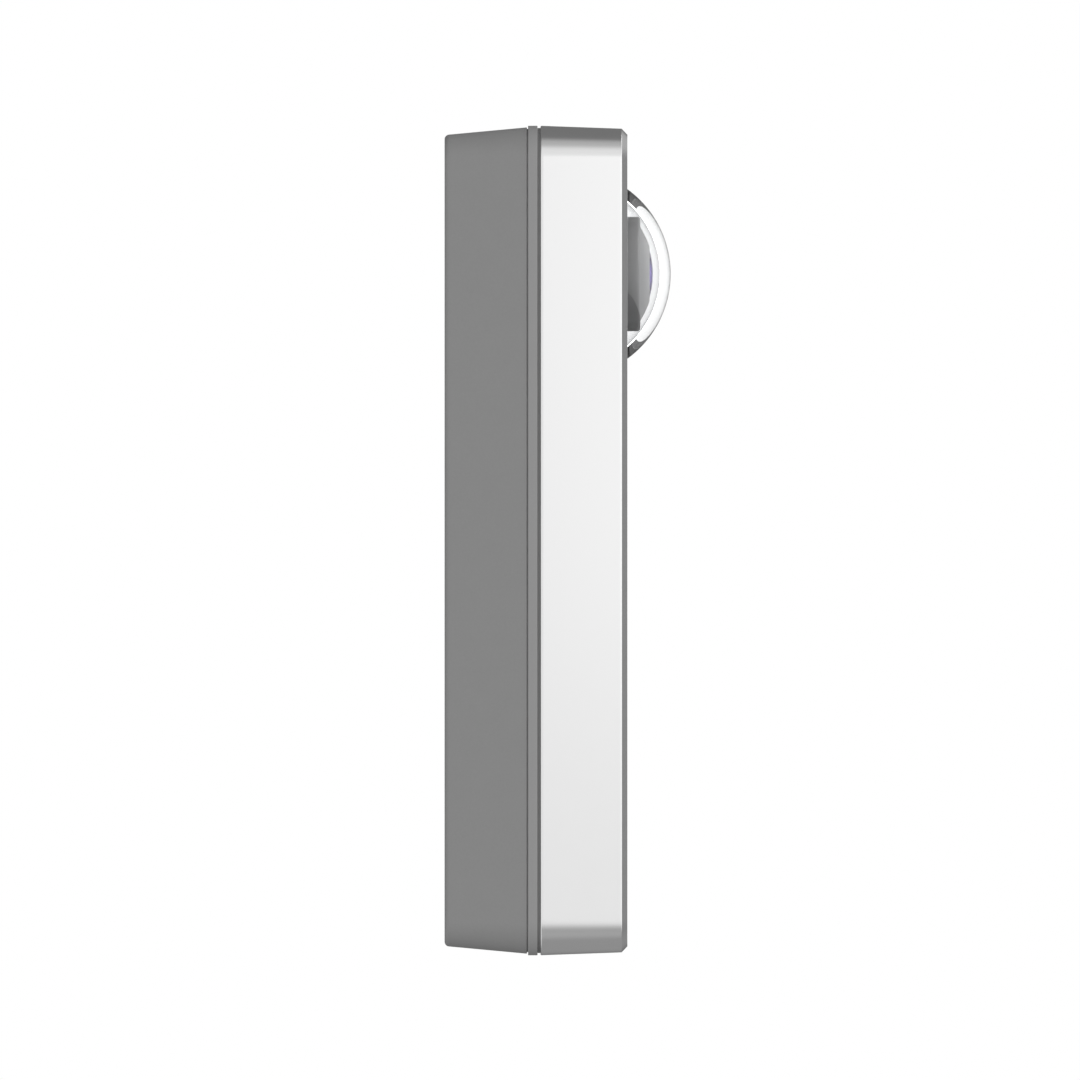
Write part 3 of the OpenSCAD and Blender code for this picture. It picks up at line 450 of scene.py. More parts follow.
# Each slot: what it is made of and how, its pattern, its colours, the size of its grain and the depth of its
# relief in millimetres, the range of its roughness, and constants of the shader
FINISHES = {
    # Spark-eroded mould: an even matt grain that takes the shine off the grey
    "box_plastic": dict(name="Spark-eroded ABS", pattern=grained, dark=("wall_box", 0.93), light=("wall_box", 1.06),
                        grain=0.45, depth=0.03, rough=(0.5, 0.62), shader={"IOR": 1.53}),
    # The same plastic from a finer mould, a shade lighter
    "cover_plastic": dict(name="Fine-grained ABS", pattern=grained, dark=("cover", 0.94), light=("cover", 1.05),
                          grain=0.35, depth=0.02, rough=(0.45, 0.55), shader={"IOR": 1.53}),
    # Glass beads leave tiny even dimples under a clear oxide: soft, bright and without lines
    "shell_metal": dict(name="Bead-blasted anodised aluminium", pattern=grained, dark=("shell", 0.975),
                        light=("shell", 1.01), grain=0.3, depth=0.006, rough=(0.19, 0.24), relief=0.25,
                        shader={"Metallic": 1.0}),
    # Moulded and hard-coated: the coat gives the shine, and the wall under it is drawn to bend the view far less
    # than solid polycarbonate does, so that the trim and the lens keep their outline
    "dome_clear": dict(name="Hard-coated polycarbonate", pattern=grained, dark="#F7F8F9", light="#FFFFFF", grain=9.0,
                       depth=0.002, rough=(0.0, 0.01), relief=0.1,
                       shader={"IOR": 1.015, "Transmission Weight": 1.0, "Coat Weight": 0.6, "Coat IOR": 1.5,
                               "Coat Roughness": 0.02}),
    # Satin mould with a fine grain, and painted shade that darkens it towards the face: dark at its foot and light at
    # its cap
    "trim_grey": dict(name="Satin-moulded polycarbonate", pattern=grain_over_painted_shade, between=TRIM_LEVELS, dark=("trim", 0.43),
                      light=("trim", 1.1), grain=0.3, depth=0.012, rough=(0.32, 0.4),
                      shader={"IOR": 1.58, "Sheen Weight": 0.4, "Sheen Roughness": 0.35}),
    # Matt and dark: a sheet laid on the trim's underside as painted shadow
    "painted_shadow_plastic": dict(name="Matt dark polycarbonate", pattern=grained, dark="#828282", light="#989898",
                          grain=0.3, depth=0.012, rough=(0.5, 0.6), shader={"IOR": 1.58}),
    # Glass-filled and matt, so that nothing inside shines
    "black_plastic": dict(name="Glass-filled nylon", pattern=grained, dark="#121214", light="#232326", grain=0.4,
                          depth=0.02, rough=(0.5, 0.65), shader={"IOR": 1.53}),
    # Polished mould: a black mirror with a trace of dark red where it is thin
    "dark_window": dict(name="Infrared-passing acrylic", pattern=grained, dark=("window", 0.9), light=("window", 1.3),
                        grain=6.0, depth=0.003, rough=(0.05, 0.11), relief=0.1, shader={"IOR": 1.49}),
    # Compression-moulded: dull, with a dusty bloom
    "rubber": dict(name="EPDM rubber", pattern=grained, dark=("gasket", 0.85), light=("gasket", 1.12), grain=0.25,
                   depth=0.02, rough=(0.72, 0.88), shader={"IOR": 1.52}),
    # Carbon-filled, for the outdoors: near black, and as dull
    "seal_rubber": dict(name="Carbon-filled EPDM rubber", pattern=grained, dark="#262627", light="#38383A",
                        grain=0.25, depth=0.02, rough=(0.7, 0.85), shader={"IOR": 1.52}),
    "silicone": dict(name="Moulded silicone", pattern=grained, dark="#77787A", light="#86878A", grain=0.3,
                     depth=0.015, rough=(0.5, 0.62), shader={"IOR": 1.41}),
    # Polished and coated against glare: dark glass with a blue-violet glint
    "lens_glass": dict(name="Coated crown glass", pattern=grained, dark="#E9E6FF", light="#F1F0FF", grain=5.0,
                       depth=0.0005, rough=(0.0, 0.008), relief=0.05,
                       shader={"IOR": 1.52, "Transmission Weight": 1.0, "Coat Weight": 0.6, "Coat IOR": 1.9,
                               "Coat Tint": (0.62, 0.5, 1.0, 1)}),
    "filter_glass": dict(name="Polished filter glass", pattern=grained, dark="#CFE8E4", light="#D8EEEA", grain=4.0,
                         depth=0.0005, rough=(0.0, 0.01), relief=0.05,
                         shader={"IOR": 1.52, "Transmission Weight": 1.0}),
    # Turned on a lathe: fine circles that draw the light out into two wedges
    "button_steel": dict(name="Lathe-turned stainless steel", pattern=spun, centre=BUTTON_CENTRE,
                         dark=("button", 0.88), light=("button", 1.04), grain=0.16, depth=0.006, rough=(0.2, 0.34),
                         relief=0.5, shader={"Metallic": 1.0}),
    "bezel_steel": dict(name="Polished stainless steel", pattern=spun, centre=BUTTON_CENTRE, dark=("bezel", 0.95),
                        light=("bezel", 1.03), grain=0.2, depth=0.002, rough=(0.1, 0.16), relief=0.2,
                        shader={"Metallic": 1.0}),
    # Milky all through, so that the diodes under it spread to an even glow
    "light_guide": dict(name="Opal polycarbonate", pattern=grained, dark="#DDE1E4", light="#ECEFF1", grain=0.4,
                        depth=0.008, rough=(0.28, 0.38),
                        shader={"IOR": 1.58, "Subsurface Weight": 0.5, "Subsurface Scale": 0.001}),
    # Thin waxy plastic, soft to the light
    "sensor_plastic": dict(name="Milky polyethylene", pattern=grained, dark="#D6D8D6", light="#E6E7E4", grain=0.5,
                           depth=0.01, rough=(0.32, 0.45),
                           shader={"IOR": 1.54, "Subsurface Weight": 0.4, "Subsurface Scale": 0.0008}),
    # Cold-headed and passivated, with faint marks from the tools
    "screw_steel": dict(name="Cold-headed stainless steel", pattern=grained, dark="#A9ABAE", light="#C9CBCE",
                        grain=0.3, depth=0.01, rough=(0.24, 0.4), shader={"Metallic": 1.0}),
    # Varnish over copper: green, with tracks showing as paler, raised lines
    "board_green": dict(name="Varnished glass-epoxy board", pattern=tracked, dark="#0E4A2C", light="#1E6B42",
                        grain=1.27, depth=0.03, rough=(0.3, 0.42), shader={"IOR": 1.55}),
    "chip_black": dict(name="Moulded epoxy", pattern=grained, dark="#18181A", light="#27272A", grain=0.2, depth=0.01,
                       rough=(0.45, 0.6), shader={"IOR": 1.55}),
    "can_steel": dict(name="Tinned steel sheet", pattern=brushed, dark="#B4B6B8", light="#CDCFD1", grain=0.4,
                      depth=0.006, rough=(0.25, 0.38), shader={"Metallic": 1.0}),
    "magnet_steel": dict(name="Zinc-plated steel", pattern=grained, dark="#9B9DA1", light="#B9BBBF", grain=0.8,
                         depth=0.01, rough=(0.28, 0.45), shader={"Metallic": 1.0}),
    # Enamelled wire wound side by side
    "copper_wire": dict(name="Enamelled copper winding", pattern=woven, dark="#7A3B1C", light="#C4703B", grain=0.2,
                        depth=0.04, rough=(0.25, 0.4), shader={"Metallic": 1.0}),
    "cone_film": dict(name="Pressed paper cone", pattern=grained, dark="#151516", light="#26262A", grain=0.5,
                      depth=0.03, rough=(0.7, 0.85), shader={"IOR": 1.5}),
    # Woven and water-repellent, and drawn four times as coarse as its real 0.1 mm threads so that they show
    "mesh_cloth": dict(name="Woven polyester mesh", pattern=woven, dark="#0C0C0E", light="#36373B", grain=0.4,
                       depth=0.12, rough=(0.6, 0.85), relief=0.8, shader={"IOR": 1.57}),
    "foam": dict(name="Open-cell foam", pattern=porous, dark="#3A3B3D", light="#1B1B1C", grain=0.35, depth=0.1,
                 rough=(0.85, 0.95), shader={"IOR": 1.4}),
    "relay_blue": dict(name="Moulded polyester case", pattern=grained, dark="#21508F", light="#2B62A8", grain=0.5,
                       depth=0.01, rough=(0.3, 0.42), shader={"IOR": 1.57}),
    "can_blue": dict(name="Shrunk vinyl sleeve", pattern=grained, dark="#28324F", light="#33405F", grain=1.5,
                     depth=0.02, rough=(0.25, 0.35), shader={"IOR": 1.54}),
    "terminal_green": dict(name="Moulded polyamide", pattern=grained, dark="#1F7A46", light="#2A8E55", grain=0.4,
                           depth=0.015, rough=(0.38, 0.5), shader={"IOR": 1.53}),
    "film_amber": dict(name="Polyimide film", pattern=tracked, dark="#B5651E", light="#D98A35", grain=0.9, depth=0.01,
                       rough=(0.2, 0.32), shader={"IOR": 1.7}),
    "led_white": dict(name="Cast silicone over ceramic", pattern=grained, dark="#E4DFC9", light="#F2EEDD", grain=0.3,
                      depth=0.01, rough=(0.25, 0.4), shader={"IOR": 1.41}),
}


def finish(slot):
    """The material of a slot, made when it is first asked for."""
    spec = FINISHES[slot]
    material = bpy.data.materials.get(spec["name"])
    if material is None:
        material = bpy.data.materials.new(spec["name"])
        material.use_nodes = True
        tree = material.node_tree
        shader = tree.nodes["Principled BSDF"]
        for key, value in spec["shader"].items():
            shader.inputs[key].default_value = value
        where = add(tree, "ShaderNodeTexCoord").outputs["Object"]
        dress(tree, shader, spec["pattern"](tree, where, spec), spec)
    return material


# ---- Pieces ----

# The grommet's neck goes through the box's floor, and its lip lies in a step there
NECK_RADIUS, LIP_DEPTH = 8.0, 1.1


class DOORBELL_OT_wall_box(bpy.types.Operator):
    """Builds the wall box with its rubber seal and cable grommet"""

    bl_idname = "doorbell.wall_box"
    bl_label = "Wall box"

    def execute(self, context):
        self.box()
        # The seal: two round ribs along a flat strip
        strip = rounded([(0, 0.15, 0.1), (0, 1.15, 0.1), (2.0, 1.15, 0.1), (2.0, 0.15, 0.1), (1.7, 0, 0.08),
                         (1.3, 0, 0.08), (1.0, 0.35, 0.15), (0.7, 0, 0.08), (0.3, 0, 0.08)], closed=True)
        piece("wall_seal_look", [grid(carry(strip, self.seal_way(0)), close_rows=True)], "seal_rubber")
        self.grommet()
        return {"FINISHED"}

    def seal_way(self, gap):
        """The way round the seal, or round its groove with a gap to the seal."""
        half_x, half_y = span("wall_seal")[1][:2] + gap
        return course(half_x, half_y, mm("body", "corner") - mm("body", "box_foot"))

    def box(self):
        """The wall box, open to the front, with the security screw's pad in its lower side."""
        foot, rim, wall, floor = (mm("body", name) for name in ("box_foot", "box_rim", "box_wall", "box_floor"))
        edge = mm("body", "box_round")
        lean = lambda level: foot + (rim - foot) * level / BOX_RIM
        # The screw's head lies in a recess under a seat, and its shank goes up through the pad
        screw_low, screw_high = span("security_screw")
        screw = ((screw_low + screw_high) / 2)[[0, 2]]
        head_r, head_high, shank_r, seat_thick = 3.0, 1.8, 1.65, 1.9
        seat = screw_low[1] + head_high
        pad_x, pad_z = 5.0, 3.5
        low_z, high_z = screw[1] - pad_z, screw[1] + pad_z
        way = course(HALF_X, HALF_Y, mm("body", "corner"), marks=(-pad_x, pad_x))
        # Up the inside, over the rim, down the outside and round the rear edge
        line = rounded([(foot + wall + 0.2, floor), (lean(floor) + wall, floor, 0.6), (lean(low_z) + wall, low_z),
                        (lean(high_z) + wall, high_z), (rim + wall, BOX_RIM), (rim, BOX_RIM, 0.12),
                        (lean(high_z), high_z), (lean(low_z), low_z), (foot, 0, edge), (foot + 1.5 * edge, 0)])
        rows = carry(line, way)
        points, quads, flat = grid(rows)
        # Leave out the two quads, inside and outside, that the pad and its recess replace
        first = np.flatnonzero(np.isclose(way[0][:, 0], -pad_x) & (way[1][:, 1] < -0.99))[0]
        at_pad = [i for i in range(len(line) - 1) if np.allclose(np.sort(line[i : i + 2, 1]), (low_z, high_z))]
        quads = quads.reshape(len(rows) - 1, -1, 4)
        keep = np.ones(quads.shape[:2], bool)
        keep[at_pad, first] = False
        surface = (points, quads[keep], flat)
        head, shank = (turned([(radius, 0)], screw, SMALL)[0, :, :2] for radius in (head_r, shank_r))
        pad = np.array([[-pad_x, low_z], [pad_x, low_z], [pad_x, high_z], [-pad_x, high_z]])

        def upright(points, height):
            """Turns a sheet in x and z into one at a height y, which may change with z."""
            return np.column_stack([points[:, 0], height(points[:, 1]) + 0 * points[:, 0], points[:, 1]])

        outside = lambda z: lean(z) - HALF_Y
        inner = lambda z: outside(z) + wall
        at_seat, top = (lambda z: seat), (lambda z: seat + seat_thick)
        patches = []
        for hole, height in ((head, outside), (shank, top)):
            points, triangles, flat = panel(pad, [hole], 0)
            patches.append((upright(points, height), triangles, flat))
        patches.append(grid(np.stack([upright(head, outside), upright(head, at_seat), upright(shank, at_seat),
                                      upright(shank, top)])))
        patches.append(grid(np.stack([upright(pad, inner), upright(pad, top)]), flat=True))
        # Sheets of the floor, with the holes and the groove for the seal
        lip, break_edge = radius_of("cable_grommet") + 0.05, 0.15
        holes = [(centre_of("cable_grommet"), [(lip + break_edge, 0), (lip, break_edge), (lip, LIP_DEPTH),
                                               (NECK_RADIUS, LIP_DEPTH), (NECK_RADIUS, floor)], MIDDLE)]
        mount = next(m["dims"] for m in frame["record"]["mounts"] if m["name"] == "wall_screws")
        bore, half_x, half_y = mount["hole_r_mm"], mount["spacing_x_mm"] / 2, mount["spacing_y_mm"] / 2
        drilled = [(bore + 0.3, 0), (bore, 0.3), (bore, floor - 0.2), (bore + 0.2, floor)]
        holes += [((x, y), drilled, SMALL) for x in (-half_x, half_x) for y in (-half_y, half_y)]
        walls, back_loops, floor_loops = bores(holes)
        groove_wide, groove_deep = 2.1, 1.2
        groove = carry([(0, 0), (0, groove_deep), (groove_wide, groove_deep), (groove_wide, 0)], self.seal_way(0.05))
        sheets = [panel(rows[-1, :, :2], [groove[0, :, :2]], 0), panel(groove[-1, :, :2], back_loops, 0),
                  panel(rows[0, :, :2], floor_loops, floor)]
        piece("rear_housing_look", [surface, grid(groove)] + patches + walls + sheets, "box_plastic")

    def grommet(self):
        """The grommet: two lips, a neck and three rings moulded into the lip at the wall."""
        back, front = (corner[2] for corner in span("cable_grommet"))
        lip, bore, neck, floor = radius_of("cable_grommet"), 4.0, NECK_RADIUS - 0.05, mm("body", "box_floor")
        section = [(bore, front, 0.3), (bore, back, 0.4)]
        for ring in (5.2, 6.4, 7.6):
            section += [(ring, back, 0.1), (ring + 0.2, back + 0.3, 0.1), (ring + 0.6, back + 0.3, 0.1),
                        (ring + 0.8, back, 0.1)]
        section += [(lip, back, 0.35), (lip, LIP_DEPTH, 0.1), (neck, LIP_DEPTH, 0.1), (neck, floor, 0.1),
                    (lip, floor, 0.1), (lip, front, 0.35)]
        rows = turned(rounded(section, closed=True), centre_of("cable_grommet"))
        piece("cable_grommet_look", [grid(rows, close_rows=True)], "seal_rubber")


class DOORBELL_OT_back_cover(bpy.types.Operator):
    """Builds the back cover with its flange, openings, posts and hooks"""

    bl_idname = "doorbell.back_cover"
    bl_label = "Back cover"

    def execute(self, context):
        seam, inset = BOX_RIM + mm("body", "seam"), mm("body", "seam_depth")
        line = rounded([(inset + 1, COVER_FRONT), (0, COVER_FRONT, 0.14), (0, seam, 0.1), (inset, seam),
                        (inset, BOX_RIM, 0.05), (inset + 1, BOX_RIM)])
        rows = carry(line, course(HALF_X, HALF_Y, mm("body", "corner")))
        # Openings for the terminals and the network jack
        gap, windows = 0.4, []
        for node in ("terminal_block", "network_jack"):
            low, high = span(node)
            (x0, y0), (x1, y1) = low[:2] - gap, high[:2] + gap
            windows.append(np.array([[x0, y0], [x1, y0], [x1, y1], [x0, y1]]))
        # Holes of the unit's screws: the outermost heads give their places
        head_r, bore = 2.6, 1.6
        out_x, out_y = span("unit_screws")[1][:2] - head_r
        holes = [((side * out_x, up * out_y), [(bore, COVER_FRONT), (bore, BOX_RIM)], TINY)
                 for side in (-1, 1) for up in (-1, 0, 1)]
        walls, front_loops, back_loops = bores(holes)
        walls += [grid(np.stack([np.insert(w, 2, COVER_FRONT, 1), np.insert(w, 2, BOX_RIM, 1)]), flat=True)
                  for w in windows]
        sheets = [panel(rows[0, :, :2], front_loops + windows, COVER_FRONT),
                  panel(rows[-1, :, :2], back_loops + windows, BOX_RIM)]
        # The main board stands on four posts, each with a blind bore
        low, high = span("main_board")
        post_in, post_out, sunk, post_x, post_y = 1.1, 2.6, 0.2, 3.5, 4
        post = rounded([(post_in, COVER_FRONT + 0.02), (post_in, low[2]), (post_out, low[2], 0.2),
                        (post_out, COVER_FRONT - sunk), (post_in, COVER_FRONT - sunk)], closed=True)
        posts = [grid(turned(post, (x, y), SMALL), close_rows=True)
                 for x in (low[0] + post_x, high[0] - post_x) for y in (low[1] + post_y, high[1] - post_y)]
        # Two hooks at the top, each a foot and a catch, and the boss that the security screw goes into
        catch, hook_z, hook_x, half = HALF_Y - 5.6, 7.3, 18, 3.5
        hooks = [block((x - half, catch + a, hook_z), (x + half, catch + b, top)) for x in (-hook_x, hook_x)
                 for a, b, top in ((-2.5, -0.3, BOX_RIM + sunk), (-0.5, 1.9, hook_z + 2.2))]
        boss_y, boss_x, boss_high, boss_z = span("security_screw")[0][1] + 3.9, 4.5, 7, 5.5
        boss = block((-boss_x, boss_y, boss_z), (boss_x, boss_y + boss_high, BOX_RIM + sunk))
        piece("back_cover_look", [grid(rows)] + walls + sheets + posts + hooks + [boss], "cover_plastic")
        return {"FINISHED"}


class DOORBELL_OT_gasket(bpy.types.Operator):
    """Builds the gasket between the back cover and the front shell"""

    bl_idname = "doorbell.gasket"
    bl_label = "Gasket"

    def execute(self, context):
        inset, wide = HALF_X - span("perimeter_gasket")[1][0], 1.9
        section = rounded([(inset, COVER_FRONT, 0.12), (inset, SHELL_BACK, 0.12), (inset + wide, SHELL_BACK),
                           (inset + wide, COVER_FRONT)], closed=True)
        way = course(HALF_X, HALF_Y, mm("body", "corner"))
        piece("perimeter_gasket_look", [grid(carry(section, way), close_rows=True)], "rubber")
        return {"FINISHED"}


class DOORBELL_OT_front_shell(bpy.types.Operator):
    """Builds the front shell with its face, chamfer and holes"""

    bl_idname = "doorbell.front_shell"
    bl_label = "Front shell"

    def execute(self, context):
        body, front = (lambda name: mm("body", name)), (lambda name: mm("front", name))
        lean, wall, edge = body("shell_lean"), body("shell_wall"), body("edge")
        inner_z = FACE - body("face_wall")
        start = FACE - body("chamfer_depth")
        in_x = lean + body("chamfer_width")
        fillet = 0.16
        line = rounded([(lean + wall + 0.9, inner_z), (lean + wall, inner_z, 0.5), (wall, SHELL_BACK, 0.1),
                        (0, SHELL_BACK, edge), (lean, start, fillet), (in_x, FACE, fillet), (in_x + 0.5, FACE)])
        rows = carry(line, course(HALF_X, HALF_Y, body("corner")))
        # Openings for what shows in the face, whose hidden lips lie behind it
        bezel_lip, fit = 1.7, 0.05
        window_rim = span("ir_window")[1][0] - mm("camera", "window_lip")
        bezel_rim = span("button_bezel")[1][0] - bezel_lip
        openings = [(centre_of("ir_window"), window_rim + fit, FINE),
                    (centre_of("pir_lens"), front("pir_radius") + fit, MIDDLE),
                    (centre_of("light_pipe"), front("pipe_radius") + fit, SMALL),
                    (BUTTON_CENTRE, bezel_rim + fit, FINE),
                    (centre_of("mic_boot"), front("mic_radius"), TINY)]
        # The grille: holes in six equal sixths of each ring round the one in the middle
        speaker, pitch = centre_of("speaker_mesh"), front("grille_pitch")
        for ring in range(context.scene.doorbell_front.grille_rings + 1):
            for turn in range(6 if ring else 1):
                for step in range(max(ring, 1)):
                    a = math.radians(60 * turn)
                    x, y = ring * pitch - step * pitch / 2, step * pitch * math.sin(math.radians(60))
                    spot = (speaker[0] + x * math.cos(a) - y * math.sin(a),
                            speaker[1] + x * math.sin(a) + y * math.cos(a))
                    openings.append((spot, front("grille_radius"), TINY))
        soft = 0.13
        holes = [(centre, rounded([(radius + 2 * soft, FACE), (radius, FACE, soft), (radius, inner_z)]), steps)
                 for centre, radius, steps in openings]
        walls, face_loops, back_loops = bores(holes)
        sheets = [panel(rows[-1, :, :2], face_loops, FACE), panel(rows[0, :, :2], back_loops, inner_z)]
        piece("front_shell_look", [grid(rows)] + walls + sheets, "shell_metal")
        return {"FINISHED"}


class DOORBELL_OT_dome(bpy.types.Operator):
    """Builds the clear dome and the dark window round it"""

    bl_idname = "doorbell.dome"
    bl_label = "Dome and window"

    def execute(self, context):
        centre = centre_of("dome")
        low, high = span("dome")
        outer = mm("camera", "dome_radius")
        inner = outer - mm("camera", "dome_wall")
        middle = high[2] - outer
        back, lip, lip_thick = low[2], radius_of("dome"), 1.2

        def arc(radius, level):
            """Points of a ball's section from a level up to its top."""
            angle = np.linspace(math.asin((level - middle) / radius), math.pi / 2, 90)
            return np.stack([radius * np.cos(angle), middle + radius * np.sin(angle)], 1)

        section = np.concatenate([arc(inner, back)[::-1], [[lip, back], [lip, back + lip_thick]],
                                  arc(outer, back + lip_thick)])
        piece("dome_look", [grid(turned(section, centre))], "dome_clear")
        # The window follows the dome with a gap, and its hidden lip reaches under the shell
        back, front = (corner[2] for corner in span("ir_window"))
        lip, lip_thick, gap, edge = radius_of("ir_window"), 1.0, 0.2, 0.15
        rim = lip - mm("camera", "window_lip")
        follow = lambda level: math.sqrt(outer ** 2 - (level - middle) ** 2) + gap
        section = rounded([(follow(back), back), (lip, back), (lip, back + lip_thick), (rim, back + lip_thick),
                           (rim, front, edge), (follow(front), front, edge)], closed=True)
        piece("ir_window_look", [grid(turned(section, centre), close_rows=True)], "dark_window")
        return {"FINISHED"}


class DOORBELL_OT_lens(bpy.types.Operator):
    """Builds the grey trim and the front lens"""

    bl_idname = "doorbell.lens"
    bl_label = "Trim and lens"

    def execute(self, context):
        cam = lambda name: mm("camera", name)
        centre = centre_of("camera_trim")
        skirt, back = radius_of("camera_trim"), span("camera_trim")[0][2]
        middle = span("dome")[1][2] - cam("dome_radius")
        cap = cam("dome_radius") - cam("dome_wall") - cam("trim_gap")
        side = cam("trim_radius")
        chord = side - cam("trim_ledge")
        top = middle + math.sqrt(cap ** 2 - chord ** 2)
        mouth = cam("lens_radius") + 0.4
        on_cap = np.linspace(math.acos(chord / cap), math.acos(mouth / cap), 40)
        dome = np.stack([cap * np.cos(on_cap), middle + cap * np.sin(on_cap)], 1)
        # Behind the mouth the trim is bored in two steps, for the lens and for its barrel
        lens_r, barrel_r, neck, step, skirt_top = 6.1, 7.65, top + 0.5, back + 3.6, back + 1.2
        inner = [(mouth, neck), (lens_r, neck), (lens_r, step), (barrel_r, step), (barrel_r, back)]
        outer = rounded([(skirt, back), (skirt, skirt_top, 0.15), (side, skirt_top, 0.3),
                         (side, top, cam("trim_edge")), (chord + 0.02, top)])
        section = np.concatenate([outer, dome, np.array(inner)])
        piece("camera_trim_look", [grid(turned(section, centre), close_rows=True)], "trim_grey")
        # A dark sheet under the trim paints its shadow
        self.insert(outer, centre)
        # Lens: a cap under the trim's own curve, and a hollow back
        lens_low, lens_high = span("front_lens")
        radius, curve = cam("lens_radius"), lens_high[2] - middle
        reach = np.linspace(0, radius, 40)
        back_z, hollow, hollow_behind = lens_low[2], 6.0, 5.4
        hollow_z = back_z - hollow_behind
        edge_r = math.sqrt(hollow ** 2 - (back_z - hollow_z) ** 2)
        inside_r = np.linspace(edge_r, 0, 30)
        section = np.concatenate([
            np.stack([reach, middle + np.sqrt(curve ** 2 - reach ** 2)], 1), [[radius, back_z]],
            np.stack([inside_r, hollow_z + np.sqrt(hollow ** 2 - inside_r ** 2)], 1)])
        piece("front_lens_look", [grid(turned(section, centre, MIDDLE))], "lens_glass")
        return {"FINISHED"}

    def insert(self, outer, centre):
        """A dark sheet on the underside of the trim as painted shadow: half an ellipse, as long as its reach each way
        from the lowest point and as high as its rise from the face, laid on the trim's own outline."""
        reach, rise = mm("camera", "painted_shadow_reach"), mm("camera", "painted_shadow_rise")
        proud, thick, foot = 0.02, 0.35, 0.6
        side = np.concatenate([[[mm("camera", "trim_radius"), FACE - 1.5]], outer[outer[:, 1] > FACE]])
        run = np.insert(np.cumsum(np.linalg.norm(np.diff(side, axis=0), axis=1)), 0, 0)
        bottom = np.interp(FACE, side[:, 1], run) - foot
        share, turn = np.linspace(0, 1, 24), np.linspace(0, math.pi, 97)
        across, up = reach * share[:, None] * np.cos(turn), bottom + (rise + foot) * share[:, None] * np.sin(turn)
        radius, level = np.interp(up, run, side[:, 0]), np.interp(up, run, side[:, 1])
        angle = -math.pi / 2 + across / mm("camera", "trim_radius")

        def layer(lift):
            r = radius + lift
            return np.stack([centre[0] + r * np.cos(angle), centre[1] + r * np.sin(angle), level + lift * 0.3], 2)

        sheets = np.concatenate([layer(proud), layer(-thick)[::-1]])
        piece("trim_shade_look", [grid(sheets, close_rows=True)], "painted_shadow_plastic", nodes=())


class DOORBELL_OT_sensors(bpy.types.Operator):
    """Builds the motion sensor's lens and the light pipe"""

    bl_idname = "doorbell.sensors"
    bl_label = "Sensors"

    def execute(self, context):
        centre = centre_of("pir_lens")
        low, high = span("pir_lens")
        radius, pitch = mm("front", "pir_radius"), mm("front", "lenslet")
        # Small lenses in a hexagonal pattern: each point sinks with the square of its distance to the nearest middle
        rings, steps, sink, rim_wide = 60, 240, 0.3, 0.35
        out = np.linspace(0, radius - rim_wide, rings)
        angle = np.arange(steps) * 2 * math.pi / steps
        x, y = out[:, None] * np.cos(angle), out[:, None] * np.sin(angle)
        row = pitch * math.sqrt(3) / 2
        spots = np.array([((i + (j % 2) / 2) * pitch, j * row) for i in range(-4, 5) for j in range(-4, 5)])
        near = np.sqrt((x[..., None] - spots[:, 0]) ** 2 + (y[..., None] - spots[:, 1]) ** 2).min(-1)
        depth = high[2] - 0.02 - sink * (near / (pitch / math.sqrt(3))) ** 2
        top = np.stack([centre[0] + x, centre[1] + y, depth], 2)
        lip, lip_front = radius_of("pir_lens"), low[2] + 1
        rim = turned(rounded([(radius - rim_wide, high[2] - 0.25), (radius - 0.3, high[2], 0.03),
                              (radius, high[2], 0.1), (radius, lip_front), (lip, lip_front), (lip, low[2]),
                              (0, low[2])]), centre, steps)
        piece("pir_lens_look", [grid(np.concatenate([top, rim]))], "sensor_plastic")
        centre = centre_of("light_pipe")
        low, high = span("light_pipe")
        pipe, collar, collar_thick = mm("front", "pipe_radius"), radius_of("light_pipe"), 0.8
        behind, sunk = FACE - mm("body", "face_wall"), 0.45
        reach = np.linspace(0, pipe, 16)
        bulb = np.stack([reach, high[2] - sunk * (reach / pipe) ** 2], 1)
        section = np.concatenate([bulb, rounded([(pipe, high[2] - sunk), (pipe, behind), (collar, behind, 0.1),
                                                 (collar, behind - collar_thick, 0.1), (pipe, behind - collar_thick),
                                                 (pipe, low[2]), (0, low[2])])])
        piece("light_pipe_look", [grid(turned(section, centre, 64))], "light_guide")
        return {"FINISHED"}


